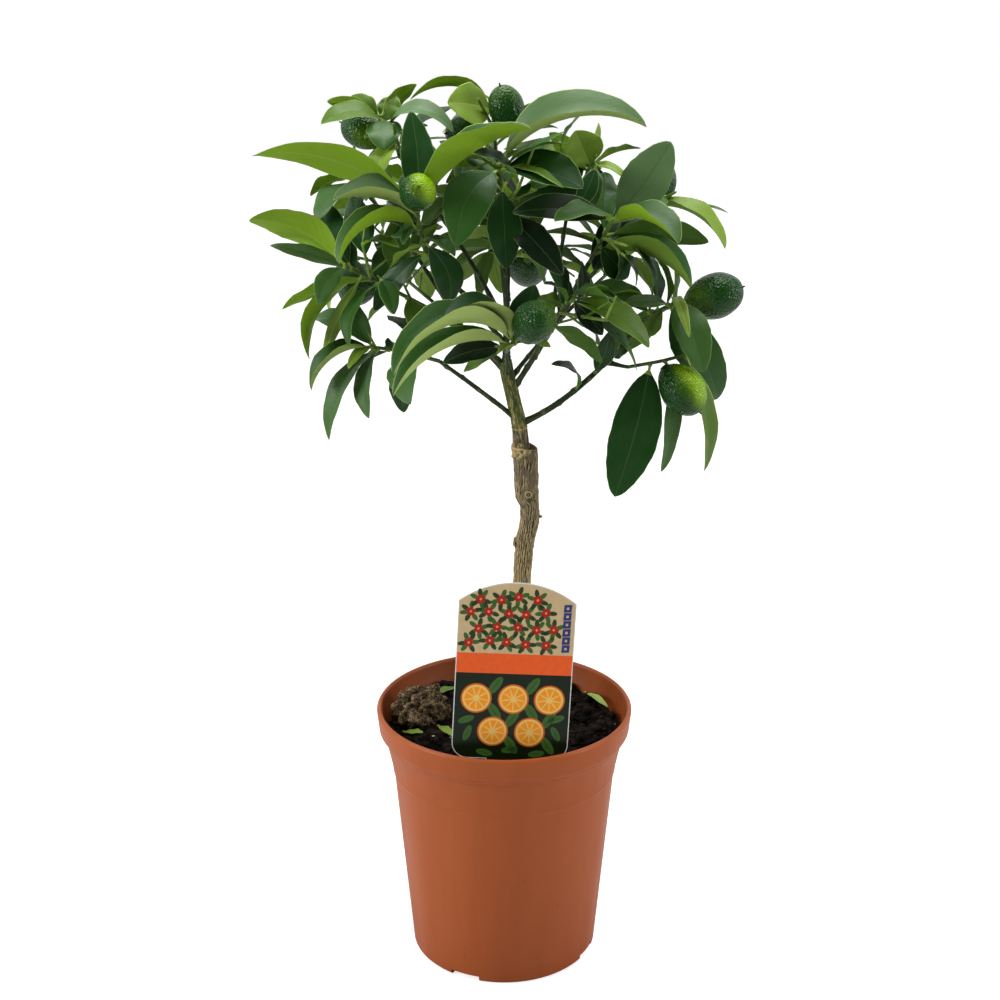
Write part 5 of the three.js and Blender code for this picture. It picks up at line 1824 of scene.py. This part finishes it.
def leaf_veins():
    """Side veins that leave the rib at a slant, as a height over the blade's own map."""

    def build(tree, given):
        blade_map = shader_node(tree, "UVMap", uv_map="blade").outputs["UV"]
        parts = shader_node(tree, "SeparateXYZ", {"Vector": blade_map}).outputs
        from_rib = maths(tree, "ABSOLUTE", maths(tree, "SUBTRACT", parts["Y"], 0.5))
        slant = maths(tree, "MULTIPLY_ADD", from_rib, -0.55, parts["X"])
        wave = maths(tree, "PINGPONG", maths(tree, "MULTIPLY", slant, given["Count"]), 1.0)
        return maths(tree, "POWER", wave, 5.0)

    return group("Leaf Veins", {"Count": 18.0}, "Height", build)


def leaf_material(name, tint, roughness, vein_depth, specular):
    """A plain leaf colour with a waxy, uneven gloss and slight relief of veins and leather grain."""
    material, tree = new_material("leaf_" + name, base_color=tint, specular_ior_level=specular)
    gloss = spread(tree, patches(tree, 95.0), roughness - 0.08, roughness + 0.12)
    veins, leather = use_group(tree, leaf_veins(), count=20.0), grain(tree, 900.0, 0.25, 0.0002)
    return finish(material, roughness=gloss, normal=bumped(tree, veins, 0.5, vein_depth, Normal=leather))


def leaf_materials():
    """One for each slot, in their order."""
    s = settings("leaf")
    kinds = ((TINTS, s.roughness, 0.00006, 0.3), (UNDERS, 0.6, -0.00015, 0.2), (LINES, 0.5, 0.0, 0.5))
    return [leaf_material(slot, getattr(s, slot), *kind) for slots, *kind in kinds for slot in slots]


def deal_tints(blades, seed):
    """Gives each unnamed leaf one plain tint as painted light and shade: deep in the heart of the crown as
    painted shade, lighter towards the top and outside and on faces turned up, as painted light.
    """
    roll = dice(seed)
    for blade in blades:
        draw = roll()
        if blade.tint:
            continue
        out = np.linalg.norm((blade.root - CROWN["middle"]) / CROWN["size"])
        # Painted light: distance from the crown's middle and an upward face raise the tint; the heart gets
        # painted shade.
        light = 0.5 * out + 0.25 * blade.face[2] + 0.45 * (draw - 0.5)
        blade.tint = TINTS[int(np.searchsorted((0.27, 0.43, 0.58, 0.7, 0.8), light))]


def make_leaves():
    finishes = leaf_materials()
    grown = [b for mass in GROWN for b in mass.blades]
    fine = [b for mass in GROWN for b in mass.fine_blades]
    for name, blades, count in (("leaves", grown, 22), ("small_leaves", fine, 12)):
        deal_tints(blades, SEEDS["tints"][name])
        roll = dice(SEEDS["forms"][name])
        heap = Heap()
        faces, strips = leaf_faces(count)
        for blade in blades:
            add_leaf(heap, blade, count, roll, faces, strips)
        add_piece(name, heap, finishes, FOLIAGE_NODES)


def make_fallen_leaves(level):
    heap = Heap()
    roll = dice(SEEDS["fallen_leaves"])
    faces, strips = leaf_faces(14)
    for (x0, y0), (x1, y1), width, tint in FALLEN:
        root = vec((x0, y0, level + soil_height(x0, y0) + 3.4))
        tip = vec((x1, y1, level + soil_height(x1, y1) + 3.2))
        blade = named_blade(Route(root, tip), 0, tip, width, 24, UPWARD, tint)
        add_leaf(heap, blade, 14, roll, faces, strips)
    add_piece("fallen_leaves", heap, leaf_materials())


# ---- fruit

# Where the rind begins to turn yellow: mass, side of the fruit, and how far it has turned.
BLUSH = {
    "left_high": ((0.75, -0.35, 0.6), 1.0), "right_low": ((0.8, -0.2, 0.6), 1.0), "front": ((0.9, 0, 0.3), 0.15),
    "crown_left": ((0.6, -0.6, -0.4), 0.3), "right_mid": ((-0.8, 0, -0.2), 0.2), "rear": ((0, 0.8, 0.6), 0.7),
}


def fruit_material():
    """Rind with pores, paler freckles, and a blush that each vertex holds as its tone."""
    s = settings("fruit")
    material, tree = new_material("rind", roughness=0.16, specular_ior_level=0.28)
    skin = blend_colour(tree, tone_layer_value(tree), s.green, s.blush)
    lighter = tuple(min(1, c * 1.9 + 0.006) for c in s.green)
    place = object_place(tree)
    cells = shader_node(tree, "TexVoronoi", {"Vector": place, "Scale": 1 / s.pores}, feature="SMOOTH_F1")
    dents = shader_node(tree, "TexNoise", {"Vector": place, "Scale": 330.0, "Detail": 2.0}).outputs["Fac"]
    pores = maths(tree, "MULTIPLY_ADD", dents, 0.6, cells.outputs["Distance"])
    return finish(
        material, base_color=uneven(tree, 800.0, 0.22, skin, lighter), normal=bumped(tree, pores, 1.0, 0.0007)
    )


# Calyx and style are drums: their radii at the two ends, and their depth.
FRUIT = {
    "neck": 1.14, "crown": 1.02, "taper": 0.13, "unevenness": 0.022,
    "calyx": (2.3, 3.0, 0.8), "style": (0.7, 0.3, 2.2),
}


def fruit_form(bm, tone_layer, number, mass_name, row):
    """One oval fruit that narrows to its stalk, with calyx and dry style."""
    middle, way, size, width, _ = row
    turn = Vector(way).to_track_quat("Z", "Y").to_matrix().to_4x4()
    place = Matrix.Translation(Vector(middle) * MM) @ turn
    half, wide = size / 2 * MM, width / 2 * MM
    side, ripe = BLUSH.get(mass_name, ((0, 0, 1), 0.1))
    side = Vector(side).normalized()
    for vert in bmesh.ops.create_uvsphere(bm, u_segments=40, v_segments=28, radius=1)["verts"]:
        out = turn.to_3x3() @ vert.co
        z = vert.co.z
        narrow = 1 - FRUIT["taper"] * max(0, -z) ** 1.5
        high = z * half * (FRUIT["neck"] if z < 0 else FRUIT["crown"])
        form = Vector((vert.co.x * wide * narrow, vert.co.y * wide * narrow, high))
        form *= 1 + FRUIT["unevenness"] * noise.noise(form * 110 + Vector((number, 0, 0)))
        vert.co = place @ form
        lit = out.dot(side) + 0.25 * noise.noise(out * 1.7)
        vert[tone_layer] = ripe * smoothstep(lit, 0.0, 1.0)
    foot = -half * FRUIT["neck"]
    lobes = add_drum(bm, place @ Matrix.Translation((0, 0, foot)), 20, *FRUIT["calyx"])
    centre = place @ Vector((0, 0, foot))
    for k, vert in enumerate(lobes):
        vert.co = centre + (vert.co - centre) * (0.7 if (k // 2) % 2 else 1.0)
    paint_faces(lobes, 1)
    paint_faces(add_drum(bm, place @ Matrix.Translation((0, 0, half + 0.7 * MM)), 8, *FRUIT["style"]), 2)


def make_fruit():
    bm = bmesh.new()
    tone = bm.verts.layers.float.new("tone")
    rows = [(mass.name, row) for mass in GROWN for row in mass.fruit]
    for number, (mass_name, row) in enumerate(rows):
        fruit_form(bm, tone, number, mass_name, row)
    calyx = shoot_material("calyx", srgb(132, 150, 60), srgb(84, 104, 40))
    style = shoot_material("dry_style", srgb(64, 52, 36), srgb(40, 34, 26))
    add_piece("fruit", bm, [fruit_material(), calyx, style], FOLIAGE_NODES)


# ---- stage

CAMERA = {"at": (-0.00244, -0.900, 0.5797), "down": 18.39, "sensor": 36}

# Square light panels that face the tree: place, size, and the setting and share of it that give their power.
PANELS = {
    "left_panel": ((-1.2, -0.5, 0.75), 0.6, "sides", 1),
    "right_panel": ((1.3, -0.35, 0.65), 0.5, "sides", 0.6),
    "top_panel": ((0, 0.1, 1.5), 0.8, "top", 1),
}
LIT_POINT = (0, 0, 0.3)


def camera_sees(tree):
    return shader_node(tree, "LightPath").outputs["Is Camera Ray"]


def make_camera(s):
    data = bpy.data.cameras.new("camera")
    data.lens = s.lens / MM
    data.sensor_width = CAMERA["sensor"]
    data.clip_start, data.clip_end = 0.01, 50
    camera = put_in_scene("camera", data)
    camera.location = CAMERA["at"]
    camera.rotation_euler = (math.radians(90 - CAMERA["down"]), 0, 0)
    bpy.context.scene.camera = camera


def make_panel_lights(s):
    for name, (at, size, setting, part) in PANELS.items():
        data = bpy.data.lights.new(name, "AREA")
        data.shape, data.size, data.energy = "SQUARE", size, getattr(s, setting) * part
        lamp = put_in_scene(name, data)
        lamp.location = at
        lamp.rotation_euler = (Vector(LIT_POINT) - Vector(at)).to_track_quat("-Z", "Y").to_euler()


def make_room_light(s):
    """A white studio: bright behind and above the tree, dimmer on the camera's side."""
    world = bpy.data.worlds.new("studio")
    world.use_nodes = True
    tree = world.node_tree
    background = tree.nodes["Background"]
    way = shader_node(tree, "TexCoord").outputs["Generated"]
    depth = shader_node(tree, "MapRange", {
        "Value": shader_node(tree, "SeparateXYZ", {"Vector": way}).outputs["Y"],
        "From Min": -0.7, "From Max": 0.5, "To Min": s.front, "To Max": s.back,
    }, interpolation_type="SMOOTHSTEP").outputs["Result"]
    strength = shader_node(tree, "Mix", {0: camera_sees(tree), 2: depth, 3: 1.0}, data_type="FLOAT").outputs[0]
    fill(tree, background.inputs["Strength"], strength)
    fill(tree, background.inputs["Color"], (1, 1, 1))
    bpy.context.scene.world = world


def make_stage():
    s = settings("stage")
    bm = bmesh.new()
    bmesh.ops.create_grid(bm, x_segments=4, y_segments=4, size=4)
    floor = put_in_scene("floor", plain_mesh(bm, "floor"))
    card, tree = new_material("floor_card", base_color=(s.floor,) * 3, roughness=0.9, emission_color=(1, 1, 1))
    finish(card, emission_strength=maths(tree, "MULTIPLY", camera_sees(tree), s.glow))
    floor.data.materials.append(card)
    make_camera(s)
    make_room_light(s)
    make_panel_lights(s)
    bpy.context.scene.view_settings.view_transform = "Standard"


# ---- operators and panel

class KUMQUAT_OT_stage(Operator):
    """Set the floor, the lights and the camera"""
    bl_idname = "kumquat.stage"
    bl_label = "Stage"

    def execute(self, context):
        make_stage()
        return {"FINISHED"}


class KUMQUAT_OT_pot(Operator):
    """Turn the plastic pot, with its notches and drain holes"""
    bl_idname = "kumquat.pot"
    bl_label = "Pot"

    def execute(self, context):
        make_pot()
        return {"FINISHED"}


class KUMQUAT_OT_soil(Operator):
    """Fill the pot with compost, crumbs, a clod and fallen leaves"""
    bl_idname = "kumquat.soil"
    bl_label = "Compost"

    def execute(self, context):
        make_soil()
        return {"FINISHED"}


class KUMQUAT_OT_label(Operator):
    """Cut and print the plant label"""
    bl_idname = "kumquat.label"
    bl_label = "Label"

    def execute(self, context):
        make_label()
        return {"FINISHED"}


class KUMQUAT_OT_bark(Operator):
    """Wrap trunk and boughs in bark"""
    bl_idname = "kumquat.bark"
    bl_label = "Trunk and boughs"

    def execute(self, context):
        make_trunk()
        make_boughs()
        return {"FINISHED"}


class KUMQUAT_OT_twigs(Operator):
    """Grow stems, twigs and stalks"""
    bl_idname = "kumquat.twigs"
    bl_label = "Twigs"

    def execute(self, context):
        make_twigs()
        return {"FINISHED"}


class KUMQUAT_OT_leaves(Operator):
    """Grow the leaves"""
    bl_idname = "kumquat.leaves"
    bl_label = "Leaves"

    def execute(self, context):
        make_leaves()
        return {"FINISHED"}


class KUMQUAT_OT_fruit(Operator):
    """Hang the fruit"""
    bl_idname = "kumquat.fruit"
    bl_label = "Fruit"

    def execute(self, context):
        make_fruit()
        return {"FINISHED"}


OPERATORS = (
    KUMQUAT_OT_stage, KUMQUAT_OT_pot, KUMQUAT_OT_soil, KUMQUAT_OT_label,
    KUMQUAT_OT_bark, KUMQUAT_OT_twigs, KUMQUAT_OT_leaves, KUMQUAT_OT_fruit,
)


class KUMQUAT_PT_panel(Panel):
    """Lists the makers and their settings"""
    bl_idname = "KUMQUAT_PT_panel"
    bl_label = "Potted Kumquat"
    bl_space_type = "VIEW_3D"
    bl_region_type = "UI"
    bl_category = "Kumquat"

    def draw(self, context):
        for operator in OPERATORS:
            self.layout.operator(operator.bl_idname)
        for name, kind in SETTINGS.items():
            box = self.layout.box()
            box.label(text=name.capitalize())
            for key in kind.__annotations__:
                box.prop(getattr(context.scene, "kumquat_" + name), key)


CLASSES = (*SETTINGS.values(), *OPERATORS, KUMQUAT_PT_panel)


def register():
    for cls in CLASSES:
        bpy.utils.register_class(cls)
    for name, kind in SETTINGS.items():
        setattr(bpy.types.Scene, "kumquat_" + name, PointerProperty(type=kind))


def unregister():
    for name in SETTINGS:
        delattr(bpy.types.Scene, "kumquat_" + name)
    for cls in reversed(CLASSES):
        bpy.utils.unregister_class(cls)


def main():
    register()
    bpy.ops.kumquat.stage()
    bpy.ops.kumquat.pot()
    bpy.ops.kumquat.soil()
    bpy.ops.kumquat.label()
    bpy.ops.kumquat.bark()
    bpy.ops.kumquat.twigs()
    bpy.ops.kumquat.leaves()
    bpy.ops.kumquat.fruit()


if __name__ == "__main__":
    main()
